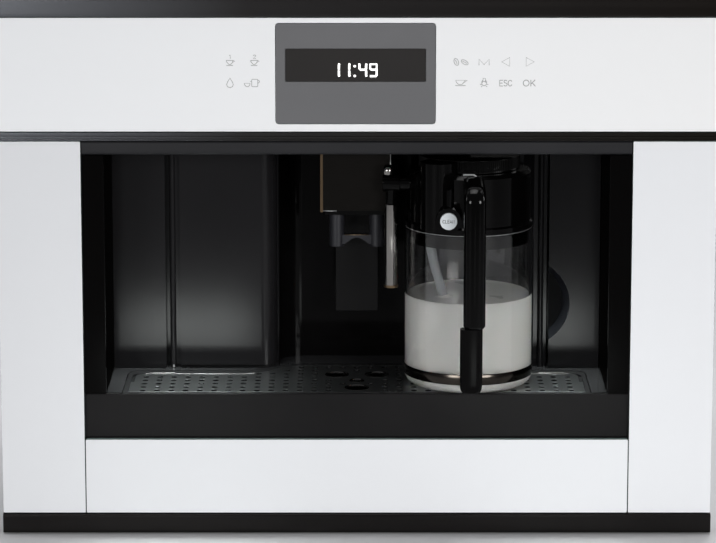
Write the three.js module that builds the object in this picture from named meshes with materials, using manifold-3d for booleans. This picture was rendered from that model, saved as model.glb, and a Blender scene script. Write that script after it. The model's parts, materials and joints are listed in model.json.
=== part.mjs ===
// A built-in coffee machine for a 560 mm wide, 450 mm high furniture niche.
// The machine rides on two telescopic rails. White glass panels and dark trim bars cover its front,
// round a recessed niche with the coffee spout, a milk carafe, a drip tray and a water tank.
//
// Frame: millimetres, +X to the right, +Y into the furniture, +Z up. While the pieces are made, y = 0
// is the face of the front glass and z = 0 the floor of the furniture niche. The group that is
// exported is moved along Y, so that its origin lies under the middle of the whole machine.

import * as THREE from "three";
import { mergeVertices } from "three/addons/utils/BufferGeometryUtils.js";
import Module from "manifold-3d";

const wasm = await Module();
wasm.setup();

// ---------------------------------------------------------------- clearances
const SEAT = 0.3; // between pieces that touch or seat in each other
const JOINT = 0.4; // half of the thin joint line between two front panels
const SLIDE = 0.8; // round a piece that is pulled out by hand

// ---------------------------------------------------------------- front panel, from the bottom up
const FRONT_WIDTH = 595;
const PANEL_BOTTOM = 1;
const BOTTOM_TRIM_HEIGHT = 17;
const LOWER_GLASS_HEIGHT = 64;
const DRIP_BAR_HEIGHT = 38;
const NICHE_HEIGHT = 203;
const NICHE_RAIL_HEIGHT = 12;
const STRIP_HEIGHT = 7.5;
const CONTROL_HEIGHT = 95;
const TOP_TRIM_HEIGHT = 17.5;
const SIDE_GLASS_WIDTH = 70;
const GLASS_THICKNESS = 5.7;
const TRIM_PROUD = 1.5; // how far the trim bars stand in front of the glass
const FRAME_PLATE = 2;
const FRAME_DEPTH = 14; // of the frame that carries the glass
const TRIM_RETURN = 2; // thickness of the trim's lip over the frame

const DISPLAY_WIDTH = 131;
const DISPLAY_HEIGHT = 83;
const DISPLAY_X = -1;
const DISPLAY_CORNER = 2.5;
const DISPLAY_DEPTH = 15;
const SCREEN_WIDTH = 115;
const SCREEN_HEIGHT = 27;
const SCREEN_RISE = 7; // of the screen's middle over the module's
const SCREEN_DEPTH = 2;

const zTrim = PANEL_BOTTOM + BOTTOM_TRIM_HEIGHT;
const zBar = zTrim + LOWER_GLASS_HEIGHT;
const zSill = zBar + DRIP_BAR_HEIGHT; // the level of the drip grid
const zCeiling = zSill + NICHE_HEIGHT;
const zStrip = zCeiling + NICHE_RAIL_HEIGHT;
const zControl = zStrip + STRIP_HEIGHT;
const zTopTrim = zControl + CONTROL_HEIGHT;
const zTop = zTopTrim + TOP_TRIM_HEIGHT;
const xFront = FRONT_WIDTH / 2;
const xWindow = xFront - SIDE_GLASS_WIDTH; // half the width of the niche in the front
const yFrame = GLASS_THICKNESS + SEAT;
const yBody = yFrame + FRAME_DEPTH + SEAT; // the casing starts behind the frame

// ---------------------------------------------------------------- casing
const BODY_WIDTH = FRONT_WIDTH - 72;
const BODY_DEPTH = 348;
const BODY_BOTTOM = 8;
const BODY_TOP = 436;
const SHEET = 1.2;
const BASE_FLANGE = 14;
const DECK_SHEET = 2;
const DECK_INSET = 5; // of the deck's legs from the side panels
const xBody = BODY_WIDTH / 2;
const yRear = yBody + BODY_DEPTH;

// ---------------------------------------------------------------- rails and brackets
const NICHE_WIDTH = FRONT_WIDTH - 35; // of the furniture
const BRACKET_SHEET = 2;
const BRACKET_FOOT = 32;
const BRACKET_HEIGHT = 96;
const BRACKET_OVERRUN = 22; // behind the casing
const RAIL_HEIGHT = 45;
const RAIL_Z = 60;
const RAIL_LENGTH = 338;
const RAIL_SHEET = 2;
const RAIL_PLAY = 0.3;
const BRACE_DEPTH = 14;
const BRACE_HEIGHT = 28;
const SCREW_HOLE = 2.6; // radius

// ---------------------------------------------------------------- niche
const LINER_WALL = 3;

const STRIP_WIDTH = 17.5; // the dark strips at both sides of the niche
const STRIP_THICKNESS = 6.5;
const STRIP_SETBACK = 3;
const WING_DEPTH = 97; // from the glass face to the wings, door and tank front
const GROOVE_X = xWindow - 69;
const GROOVE_WIDTH = 12;
const GROOVE_DEPTH = 9;
const RIDGE_RADIUS = 2.6;
const RECESS_HALF = 67;
const RECESS_DEPTH = 145;
const RECESS_CORNER = 20;
const MILK_BAY_DEPTH = 113;
const WELL_HALF = 38; // the well in the ceiling that the raised spout goes into
const WELL_HEIGHT = 14;
const WELL_FRONT = 42;
const NICHE_RAIL_DEPTH = 7;

// ---------------------------------------------------------------- drip tray
const BAR_SETBACK = 5;
const BAR_THICKNESS = 3.6;
const TRAY_HALF = xWindow - 31.5;
const TRAY_REAR = 89;
const TRAY_NOSE = 114; // the tray's depth in the middle
const TRAY_NOSE_HALF = 46;
const TRAY_SHOULDER = 98;
const TRAY_CORNER = 14;
const TRAY_WALL = 2.2;
const GRID_THICKNESS = 1.5;
const GRID_MARGIN = 4; // of tray rim round the grid
const GRID_NOTCH = 2.8;
const GRID_NOTCH_Y = 47;
const HOLE_PITCH = 12;
const HOLE_RADIUS = 2.5;
const GRID_HALF = TRAY_HALF - 4;
const GRID_REAR = 77;
const GRID_NOSE = 107.5;
const GRID_CORNER = 8;
const HOLE_CLEAR = 5.5; // of plain plate between a small hole and a large one
const FIRST_ROW_Y = 16.7;
const BIG_HOLE_RADIUS = 10;
const MIDDLE_HOLE_RADIUS = 6;
const DRAIN_X = 17;
const DRAIN_Y = 74;
const DRAIN_FRONT_Y = 27;
const MIDDLE_HOLE_Y = 52;

// ---------------------------------------------------------------- service door and coffee spout
const DOOR_SHEET = 3;
const DOOR_GAP = 3; // under the door
const DOOR_ROUNDING = 14;
const HINGE_PIN_RADIUS = 0.9;
const SPOUT_TRAVEL = 60;
const SPOUT_WIDTH = 57;
const SPOUT_PLATE = 3.4;
const SPOUT_FRONT = 56;
const SPOUT_BOTTOM = 262;
const SPOUT_TOP = 332;
const GUIDE_WIDTH = 36;
const GUIDE_FRONT = 104;
const GUIDE_SLOT = 2.4;
const GUIDE_SLOT_Y = 110;
const GUIDE_SLOT_WIDTH = 4;
const JAW_DEPTH = 14;
const NOZZLE_X = 17;
const NOZZLE_Y = 74;
const NOZZLE_RADIUS = 6.5;
const NOZZLE_BORE = 2.5;
const NOZZLE_BOTTOM = 233;
const BRIDGE_BOTTOM = 232; // a low bridge joins the two nozzles
const BRIDGE_HEIGHT = 11;
const BRIDGE_DEPTH = 15;
const ARCH_HEIGHT = 5.5;
const GUIDE_BOTTOM = NOZZLE_BOTTOM - SPOUT_TRAVEL - 4;

// ---------------------------------------------------------------- water tank
const TANK_DEPTH = 236;
const TANK_WALL = 2.2;
const TANK_HEADROOM = 3;
const FASCIA = 3;
const GRIP_RADIUS = 38;
const GRIP_REACH = 18; // how far the half moon reaches over the tank's front
const GRIP_Z = 178;
const GRIP_DEPTH = 14;
const GRIP_RIM = 4;
const GRIP_RIM_PROUD = 1.2;

// ---------------------------------------------------------------- milk carafe
const CARAFE_X = 94.5;
const CARAFE_Y = 52.5;
const CARAFE_RADIUS = 53.8;
const CARAFE_WALL = 2.8;
const CARAFE_FLOOR = 5;
const CARAFE_FOOT_ROUNDING = 8;
const CARAFE_SIDES = 36;
const CARAFE_MOUTH_Z = 255;
const BAND_BOTTOM_Z = 128.6;
const BAND_HEIGHT = 9;
const BAND_THICKNESS = 0.6;
const LID_SKIRT = 12;
const LID_RIM = 5;
const LID_HEIGHT = 50; // from the glass's mouth to the lid's top
const LID_SOCKET = 4.2; // radius of the hole that the steam nozzle plugs into
const KNOB_RADIUS = 43;
const KNOB_HEIGHT = 11;
const KNOB_RIBS = 36;
const KNOB_SPIGOT = 12;
const PILLAR_X = 67.5;
const PILLAR_RADIUS = 15;
const BUTTON_X = 75.6;
const BUTTON_Z = 270;
const BUTTON_RADIUS = 7;
const BUTTON_TRAVEL = 2;
const BOSS_RADIUS = 10.5;
const BOSS_PROUD = 15; // in front of the lid's wall at its middle
const HANDLE_WIDTH = 18.5;
const HANDLE_THICKNESS = 14;
const HANDLE_REACH = 38; // in front of the glass face
const HANDLE_JOINT_Z = 184;
const HANDLE_BOTTOM_Z = 132;
const ARM_Z = 292;
const ARM_Y = 45;
const ARM_RADIUS = 6.5;
const MILK_SPOUT_X = 28.8;
const MILK_SPOUT_RADIUS = 5.8;
const MILK_SPOUT_TOP = 274;
const MILK_SPOUT_BOTTOM = 203;
const INTAKE_RADIUS = 4;
const INTAKE_TOP = [62, 35];
const INTAKE_FOOT = [95, 52];
const KNOB_RIB_DEPTH = 1.2;
const SPIGOT_DEPTH = 8;
const BUTTON_DEPTH = 6; // of the recess in the boss
const BUTTON_PROUD = 2.2;
const ELBOW_RADIUS = 7.2;
const SPIGOT_RADIUS = 3;
const NECK_RADIUS = 4.6;
const NECK_DEPTH = 12;
const TUBE_BORE = 3.2;
const LID_SOCKET_DEPTH = 10;
const STEAM_Z = 284;
const STEAM_RADIUS = 3.6;
const STEAM_FLANGE = 12;
const STEAM_REACH = 9;

// ---------------------------------------------------------------- works inside the casing
const HOPPER = { x: -10, y: 230, width: 150, throat: 22, wall: 2 };
const HOPPER_BOTTOM = BODY_TOP - 90;
const HOPPER_CONE = 50; // height of its funnel-shaped part
const LID_SHEET = 2;
const LID_LIFT = 1;
const HINGE_RADIUS = 3;
const GRINDER_RADIUS = 42;
const GRIND_KNOB = { x: 190, y: 230, radius: 16, height: 9 };
const BREW_UNIT = { x: -112, y: 205, width: 70, depth: 130, bottom: 198, top: 318 };
const GROUNDS = { x: -112, y: 178, width: 74, depth: 106, height: 72 };
const BOILER = { x: -130, y: 250, radius: 38, length: 130 };
const PUMP = { x: 80, y: 250, radius: 20, length: 110 };
const INLET = { x: 190, z: 70, width: 28, height: 22 };
const SWITCH = { x: 140, z: 70, width: 14, height: 22 };
const SWITCH_DEPTH = 8;
const SWITCH_PROUD = 1.5;
const KNOB_SPINDLE = 5; // radius
const BEAN_HINGE_HALF = 60;
const LUG = 5;
const LID_OVERLAP = 4;
const yBeanHinge = HOPPER.y + HOPPER.width / 2 + LID_OVERLAP + HINGE_RADIUS;
const zBeanHinge = BODY_TOP + HINGE_RADIUS;

// ---------------------------------------------------------------- materials
const finish = (color, roughness, metalness = 0, extra = {}) =>
  new THREE.MeshStandardMaterial({ color, roughness, metalness, ...extra });
const whiteGlass = finish(0xeef1f6, 0.12);
const darkTrim = finish(0x2d2a2b, 0.25, 0.9);
const greyGlass = finish(0x6e6e70, 0.3);
const screenGlass = finish(0x383635, 0.15);
const satinBlack = finish(0x232223, 0.45);
const glossBlack = finish(0x0c0b0c, 0.12);
const linerBlack = finish(0x2b2a2d, 0.4);
const brushedDark = finish(0x4a4743, 0.35, 0.9);
const satinGrey = finish(0x5b5c5f, 0.4, 0.6);
const chrome = finish(0xc9ccd1, 0.08, 1);
const steelGrid = finish(0x9a9c9f, 0.28, 1);
const clearGlass = finish(0xe8eef0, 0.03, 0, { transparent: true, opacity: 0.35 });
const zincSheet = finish(0xb5b8ba, 0.45, 0.9);
const greyPlastic = finish(0x77797c, 0.55);
const smokedPlastic = finish(0x55565a, 0.2, 0, { transparent: true, opacity: 0.6 });
const tubePlastic = finish(0xe9e9e6, 0.35);

// ---------------------------------------------------------------- geometry helpers
// A closed three.js geometry as a solid, so that it can be joined and cut.
function solid(geometry) {
  const bare = geometry.clone();
  bare.deleteAttribute("normal");
  bare.deleteAttribute("uv");
  const merged = mergeVertices(bare, 1e-4);
  const triVerts = merged.index
    ? Uint32Array.from(merged.index.array)
    : Uint32Array.from(merged.attributes.position.array.keys());
  const vertProperties = Float32Array.from(merged.attributes.position.array);
  return new wasm.Manifold(new wasm.Mesh({ numProp: 3, vertProperties, triVerts }));
}

function geometryOf(manifold) {
  const { vertProperties, numProp, triVerts } = manifold.getMesh();
  const position = new Float32Array((vertProperties.length / numProp) * 3);
  for (let i = 0; i < position.length / 3; i++)
    for (let k = 0; k < 3; k++) position[3 * i + k] = vertProperties[numProp * i + k];
  const geometry = new THREE.BufferGeometry();
  geometry.setAttribute("position", new THREE.BufferAttribute(position, 3));
  geometry.setIndex(Array.from(triVerts));
  const flat = geometry.toNonIndexed();
  flat.computeVertexNormals();
  return flat;
}

const join = (...pieces) => geometryOf(pieces.map(solid).reduce((a, b) => a.add(b)));
const cut = (body, ...tools) =>
  geometryOf(tools.map(solid).reduce((a, b) => a.subtract(b), solid(body)));
const common = (a, b) => geometryOf(solid(a).intersect(solid(b)));

const box = (x0, x1, y0, y1, z0, z1) =>
  new THREE.BoxGeometry(x1 - x0, y1 - y0, z1 - z0).translate(
    (x0 + x1) / 2,
    (y0 + y1) / 2,
    (z0 + z1) / 2,
  );

const shapeOf = (points) => new THREE.Shape(points.map(([x, y]) => new THREE.Vector2(x, y)));

function roundedRect(x0, x1, y0, y1, r, Kind = THREE.Shape) {
  const s = new Kind();
  s.moveTo(x0 + r, y0);
  s.lineTo(x1 - r, y0);
  s.absarc(x1 - r, y0 + r, r, -Math.PI / 2, 0, false);
  s.lineTo(x1, y1 - r);
  s.absarc(x1 - r, y1 - r, r, 0, Math.PI / 2, false);
  s.lineTo(x0 + r, y1);
  s.absarc(x0 + r, y1 - r, r, Math.PI / 2, Math.PI, false);
  s.lineTo(x0, y0 + r);
  s.absarc(x0 + r, y0 + r, r, Math.PI, Math.PI * 1.5, false);
  return s;
}

// A shape drawn in (X, Y), (X, Z) or (Y, Z) and pushed along the third direction.
const extrude = (shape, depth, curveSegments) =>
  new THREE.ExtrudeGeometry(shape, { depth, bevelEnabled: false, curveSegments });
const alongZ = (shape, z0, z1, steps = 2) => extrude(shape, z1 - z0, steps).translate(0, 0, z0);
const alongY = (shape, y0, y1, steps = 2) =>
  extrude(shape, y1 - y0, steps)
    .rotateX(Math.PI / 2)
    .translate(0, y1, 0);
const yzToWorld = new THREE.Matrix4().set(0, 0, 1, 0, 1, 0, 0, 0, 0, 1, 0, 0, 0, 0, 0, 1);
const alongX = (shape, x0, x1, steps = 2) =>
  extrude(shape, x1 - x0, steps).applyMatrix4(yzToWorld).translate(x0, 0, 0);

// Round pieces: a profile of [radius, height] turned about a vertical line, and plain rods.
const turned = (profile, x, y, steps = 32) =>
  new THREE.LatheGeometry(
    profile.map(([r, z]) => new THREE.Vector2(r, z)),
    steps,
  )
    .rotateX(Math.PI / 2)
    .translate(x, y, 0);
const rodZ = (x, y, r, z0, z1, steps = 20) =>
  new THREE.CylinderGeometry(r, r, z1 - z0, steps).rotateX(Math.PI / 2).translate(x, y, (z0 + z1) / 2);
const rodY = (x, z, r, y0, y1, steps = 20) =>
  new THREE.CylinderGeometry(r, r, y1 - y0, steps).translate(x, (y0 + y1) / 2, z);
const rodX = (y, z, r, x0, x1, steps = 20) =>
  new THREE.CylinderGeometry(r, r, x1 - x0, steps).rotateZ(Math.PI / 2).translate((x0 + x1) / 2, y, z);

// A wall of constant thickness along a line of points seen from above, on the line's left side.
function wallShape(points, thickness) {
  const line = points.map(([x, y]) => new THREE.Vector2(x, y));
  const normals = line.slice(1).map((p, i) => {
    const d = p.clone().sub(line[i]).normalize();
    return new THREE.Vector2(-d.y, d.x);
  });
  const outer = line.map((p, i) => {
    const a = normals[Math.max(i - 1, 0)];
    const b = normals[Math.min(i, normals.length - 1)];
    const mitre = a.clone().add(b).normalize();
    return p.clone().addScaledVector(mitre, thickness / mitre.dot(a));
  });
  return new THREE.Shape([...line, ...outer.reverse()]);
}

// Points on an arc, from angle a to b in degrees.
const arcPoints = (x, y, r, a, b, steps) =>
  Array.from({ length: steps + 1 }, (_, i) => {
    const t = THREE.MathUtils.degToRad(a + ((b - a) * i) / steps);
    return [x + r * Math.cos(t), y + r * Math.sin(t)];
  });

const machine = new THREE.Group();
function add(name, geometry, material) {
  const mesh = new THREE.Mesh(geometry, material);
  mesh.name = name;
  machine.add(mesh);
}
const SIDES = [
  ["left", -1],
  ["right", 1],
];
// The same box on the left or right side, given by its distances from the middle.
const sideBox = (side, near, far, y0, y1, z0, z1) =>
  side < 0 ? box(-far, -near, y0, y1, z0, z1) : box(near, far, y0, y1, z0, z1);

// ---------------------------------------------------------------- rails and brackets
// A rail's section, seen from the front: a web at xWeb with two flanges that reach to xOpen.
function railSection(side, xWeb, xOpen, half) {
  const t = RAIL_SHEET * Math.sign(xWeb - xOpen);
  return shapeOf(
    [
      [xOpen, -half],
      [xWeb, -half],
      [xWeb, half],
      [xOpen, half],
      [xOpen, half - RAIL_SHEET],
      [xWeb - t, half - RAIL_SHEET],
      [xWeb - t, RAIL_SHEET - half],
      [xOpen, RAIL_SHEET - half],
    ].map(([x, z]) => [side * x, RAIL_Z + z]),
  );
}

function addRails() {
  const xBracket = NICHE_WIDTH / 2 - JOINT;
  const xOuter = xBracket - BRACKET_SHEET - SEAT;
  const xInner = xBody + SEAT;
  const xOpen = xInner + RAIL_SHEET + RAIL_PLAY;
  const xMiddle = xOuter - RAIL_SHEET - RAIL_PLAY;
  const xTip = xMiddle - RAIL_SHEET - RAIL_PLAY;
  const step = RAIL_SHEET + RAIL_PLAY;
  const half = RAIL_HEIGHT / 2;
  const y0 = yBody + 1;
  const y1 = y0 + RAIL_LENGTH;
  const yEnd = yRear + BRACKET_OVERRUN;
  for (const [name, side] of SIDES) {
    const foot = sideBox(side, xBracket - BRACKET_FOOT, xBracket, y0, yEnd, 0, BRACKET_SHEET);
    const wall = sideBox(side, xBracket - BRACKET_SHEET, xBracket, y0, yEnd, 0, BRACKET_HEIGHT);
    const holes = [0.15, 0.5, 0.85].flatMap((t) => {
      const y = y0 + t * (yEnd - y0);
      const x = side * (xBracket - BRACKET_FOOT / 2);
      return [
        rodZ(x, y, SCREW_HOLE, -1, BRACKET_SHEET + 1, 10),
        rodX(y, BRACKET_HEIGHT - 6, SCREW_HOLE, side * xBracket - 3, side * xBracket + 3, 10),
      ];
    });
    add(`${name}_bracket`, cut(join(foot, wall), ...holes), zincSheet);
    add(`${name}_outer_rail`, alongY(railSection(side, xOuter, xOpen, half), y0, y1), zincSheet);
    const middle = railSection(side, xMiddle, xOpen, half - step);
    add(`${name}_middle_rail`, alongY(middle, y0, y1), zincSheet);
    const inner = railSection(side, xInner, xTip, half - 2 * step);
    add(`${name}_inner_rail`, alongY(inner, y0, y1), zincSheet);
  }
  const xBrace = xBracket - BRACKET_SHEET - SEAT;
  const z0 = BRACKET_SHEET + SEAT;
  const yBrace = yEnd - BRACE_DEPTH;
  const angle = [
    [yBrace, z0],
    [yEnd, z0],
    [yEnd, z0 + BRACE_HEIGHT],
    [yEnd - BRACKET_SHEET, z0 + BRACE_HEIGHT],
    [yEnd - BRACKET_SHEET, z0 + BRACKET_SHEET],
    [yBrace, z0 + BRACKET_SHEET],
  ];
  add("rear_brace", alongX(shapeOf(angle), -xBrace, xBrace), zincSheet);
}

// ---------------------------------------------------------------- casing
const SLOT_WIDTH = 3.5;
const SLOT_PITCH = 11;
const slotRow = (count, make) => Array.from({ length: count }, (_, i) => make(i * SLOT_PITCH));

function addCasing() {
  const yInside = yRear - SHEET - SEAT;
  const zInside = BODY_TOP - SHEET - SEAT;
  const xBase = xBody - SHEET - SEAT;
  const zBase = BODY_BOTTOM + SHEET;
  const pan = box(-xBase, xBase, yBody, yInside, BODY_BOTTOM, BODY_BOTTOM + BASE_FLANGE);
  const hollow = box(SHEET - xBase, xBase - SHEET, yBody + SHEET, yInside - SHEET, zBase, 99);
  add("chassis_base", cut(pan, hollow), zincSheet);

  const VENT = { y: 250, z: 330, height: 60, count: 9 };
  for (const [name, side] of SIDES) {
    const sheet = sideBox(side, xBody - SHEET, xBody, yBody, yInside, BODY_BOTTOM, zInside);
    const slots = slotRow(VENT.count, (step) => {
      const y = VENT.y + step;
      return sideBox(side, xBody - 5, xBody + 5, y, y + SLOT_WIDTH, VENT.z, VENT.z + VENT.height);
    });
    add(`${name}_side_panel`, cut(sheet, ...slots), zincSheet);
  }

  const GRILLE = { x: -200, z: 250, height: 110, count: 16 };
  const grille = slotRow(GRILLE.count, (step) => {
    const x = GRILLE.x + step;
    return box(x, x + SLOT_WIDTH, yRear - 5, yRear + 5, GRILLE.z, GRILLE.z + GRILLE.height);
  });
  const socket = ({ x, z, width, height }, gap) =>
    box(
      x - width / 2 - gap,
      x + width / 2 + gap,
      yRear - 5,
      yRear + 5,
      z - height / 2 - gap,
      z + height / 2 + gap,
    );
  const rocker = { ...SWITCH, height: SWITCH.height + 4 };
  const back = box(-xBody, xBody, yRear - SHEET, yRear, BODY_BOTTOM, zInside);
  const openings = [...grille, socket(INLET, SEAT), socket(rocker, SEAT)];
  add("rear_cover", cut(back, ...openings), zincSheet);

  const roof = box(-xBody, xBody, yBody, yRear, BODY_TOP - SHEET, BODY_TOP);
  const mouth = HOPPER.width / 2 - HOPPER.wall;
  const beanMouth = box(
    HOPPER.x - mouth,
    HOPPER.x + mouth,
    HOPPER.y - mouth,
    HOPPER.y + mouth,
    BODY_TOP - 5,
    BODY_TOP + 5,
  );
  const spindle = rodZ(GRIND_KNOB.x, GRIND_KNOB.y, KNOB_SPINDLE + SEAT, 400, BODY_TOP + 5, 16);
  const lugs = [-1, 1].map((side) => {
    const x = HOPPER.x + side * (BEAN_HINGE_HALF + SEAT + LUG / 2);
    const foot = box(x - LUG / 2, x + LUG / 2, yBeanHinge - HINGE_RADIUS + 1,
      yBeanHinge + HINGE_RADIUS - 1, BODY_TOP - SHEET / 2, zBeanHinge);
    return join(foot, rodX(yBeanHinge, zBeanHinge, HINGE_RADIUS, x - LUG / 2, x + LUG / 2, 16));
  });
  add("top_cover", join(cut(roof, beanMouth, spindle), ...lugs), zincSheet);
}

// The sheet-metal deck that the brew unit, grinder and water tank stand on.
const yDeck = RECESS_DEPTH + LINER_WALL + SEAT;
function addDeck() {
  const xLeg = xBody - SHEET - SEAT - DECK_INSET;
  const z0 = BODY_BOTTOM + SHEET + SEAT;
  const t = DECK_SHEET;
  const section = [
    [-xLeg, z0],
    [-xLeg, zSill],
    [xLeg, zSill],
    [xLeg, z0],
    [xLeg - t, z0],
    [xLeg - t, zSill - t],
    [t - xLeg, zSill - t],
    [t - xLeg, z0],
  ];
  const yEnd = yRear - SHEET - SEAT - SLIDE - SHEET;
  add("works_deck", alongY(shapeOf(section), yDeck, yEnd), zincSheet);
}

// ---------------------------------------------------------------- front
function addFrontFrame() {
  const x = xFront - 1;
  const z0 = PANEL_BOTTOM + TRIM_RETURN + SEAT;
  const z1 = zTop - TRIM_RETURN - SEAT;
  const outline = () => roundedRect(-x, x, z0, z1, 3);
  const rect = (x0, x1, a, b, r) => roundedRect(x0, x1, a, b, r, THREE.Path);
  const displayWindow = rect(...displayEdges(SEAT), DISPLAY_CORNER);
  const plate = outline();
  plate.holes.push(rect(-xWindow, xWindow, zBar, zStrip, 0.5), displayWindow);
  const t = FRAME_PLATE;
  const rim = outline();
  rim.holes.push(rect(t - x, x - t, z0 + t, z1 - t, 1));
  const collar = roundedRect(-xWindow - t, xWindow + t, zBar - t, zStrip + t, 1);
  collar.holes.push(rect(-xWindow, xWindow, zBar, zStrip, 0.5));
  const yBack = yFrame + FRAME_DEPTH;
  const parts = [
    alongY(plate, yFrame, yFrame + t),
    alongY(rim, yFrame, yBack),
    alongY(collar, yFrame, yBack),
  ];
  add("front_frame", join(...parts), satinBlack);
}

// The display module's left, right, lower and upper edges, grown by a gap all round.
function displayEdges(gap) {
  const w = DISPLAY_WIDTH / 2 + gap;
  const h = DISPLAY_HEIGHT / 2 + gap;
  const z = (zControl + zTopTrim) / 2 + 1;
  return [DISPLAY_X - w, DISPLAY_X + w, z - h, z + h];
}

// A trim bar's section, seen from the side, with a lip that covers the frame's edge.
function trimSection(zInner, zOuter) {
  const s = Math.sign(zOuter - zInner);
  const y = -TRIM_PROUD;
  const r = 2.2;
  const lip = yFrame + FRAME_DEPTH;
  const c = new THREE.Shape();
  c.moveTo(GLASS_THICKNESS, zInner);
  c.lineTo(y + r, zInner);
  c.quadraticCurveTo(y, zInner, y, zInner + s * r);
  c.lineTo(y, zOuter - s * r);
  c.quadraticCurveTo(y, zOuter, y + r, zOuter);
  c.lineTo(lip, zOuter);
  c.lineTo(lip, zOuter - s * TRIM_RETURN);
  c.lineTo(GLASS_THICKNESS, zOuter - s * TRIM_RETURN);
  return c;
}

function addFront() {
  const pane = (x0, x1, z0, z1) =>
    roundedRect(x0 + JOINT, x1 - JOINT, z0 + JOINT, z1 - JOINT, 0.8);
  const glass = (name, shape) => add(name, alongY(shape, 0, GLASS_THICKNESS, 1), whiteGlass);
  glass("left_glass", pane(-xFront, -xWindow, zTrim, zStrip));
  glass("right_glass", pane(xWindow, xFront, zTrim, zStrip));
  glass("lower_glass", pane(-xWindow, xWindow, zTrim, zBar));
  const control = pane(-xFront, xFront, zControl, zTopTrim);
  control.holes.push(roundedRect(...displayEdges(JOINT), DISPLAY_CORNER, THREE.Path));
  glass("control_glass", control);

  add("top_trim", alongX(trimSection(zTopTrim + JOINT, zTop), -xFront, xFront, 4), darkTrim);
  add("bottom_trim", alongX(trimSection(zTrim - JOINT, PANEL_BOTTOM), -xFront, xFront, 4), darkTrim);

  const [x0, x1, z0, z1] = displayEdges(0);
  const yFace = 0.4;
  const module = alongY(roundedRect(x0, x1, z0, z1, DISPLAY_CORNER), yFace, yFace + DISPLAY_DEPTH);
  const screen = (grow) => {
    const w = SCREEN_WIDTH / 2 + grow;
    const h = SCREEN_HEIGHT / 2 + grow;
    const z = (z0 + z1) / 2 + SCREEN_RISE;
    return roundedRect(DISPLAY_X - w, DISPLAY_X + w, z - h, z + h, 1);
  };
  const bed = yFace + SCREEN_DEPTH;
  add("display_module", cut(module, alongY(screen(SEAT), yFace - 1, bed)), greyGlass);
  add("display_screen", alongY(screen(0), yFace + 0.1, bed - SEAT), screenGlass);

  // the dark strip over the niche, with two fine grooves along its face
  const zA = zStrip + JOINT;
  const h = STRIP_HEIGHT - 2 * JOINT;
  const yStrip = -0.8;
  const groove = 0.6;
  const face = [0.25, 0.6].flatMap((t) => [
    [yStrip, zA + t * h - groove],
    [yStrip + groove, zA + t * h],
    [yStrip, zA + t * h + groove],
  ]);
  const strip = [[GLASS_THICKNESS, zA], [yStrip, zA], ...face, [yStrip, zA + h],
    [GLASS_THICKNESS, zA + h]];
  add("divider_strip", alongX(shapeOf(strip), JOINT - xFront, xFront - JOINT), darkTrim);

  const x = xWindow - JOINT;
  const yRail = STRIP_SETBACK - 2;
  const rail = roundedRect(yRail, yRail + NICHE_RAIL_DEPTH, zCeiling + JOINT, zStrip - JOINT, 2.4);
  add("niche_rail", alongX(rail, -x, x, 4), satinBlack);
}

// ---------------------------------------------------------------- niche liner
const xLiner = xWindow - JOINT - LINER_WALL - 2; // inner face of the side walls
const yLinerFront = BAR_SETBACK + BAR_THICKNESS + SEAT;
const xTankSide = xWindow - JOINT - STRIP_WIDTH; // the tank passes between the strips
const xGrooveFar = GROOVE_X + GROOVE_WIDTH / 2;
const xGrooveNear = GROOVE_X - GROOVE_WIDTH / 2;
const yGroove = WING_DEPTH + GROOVE_DEPTH;

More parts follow.
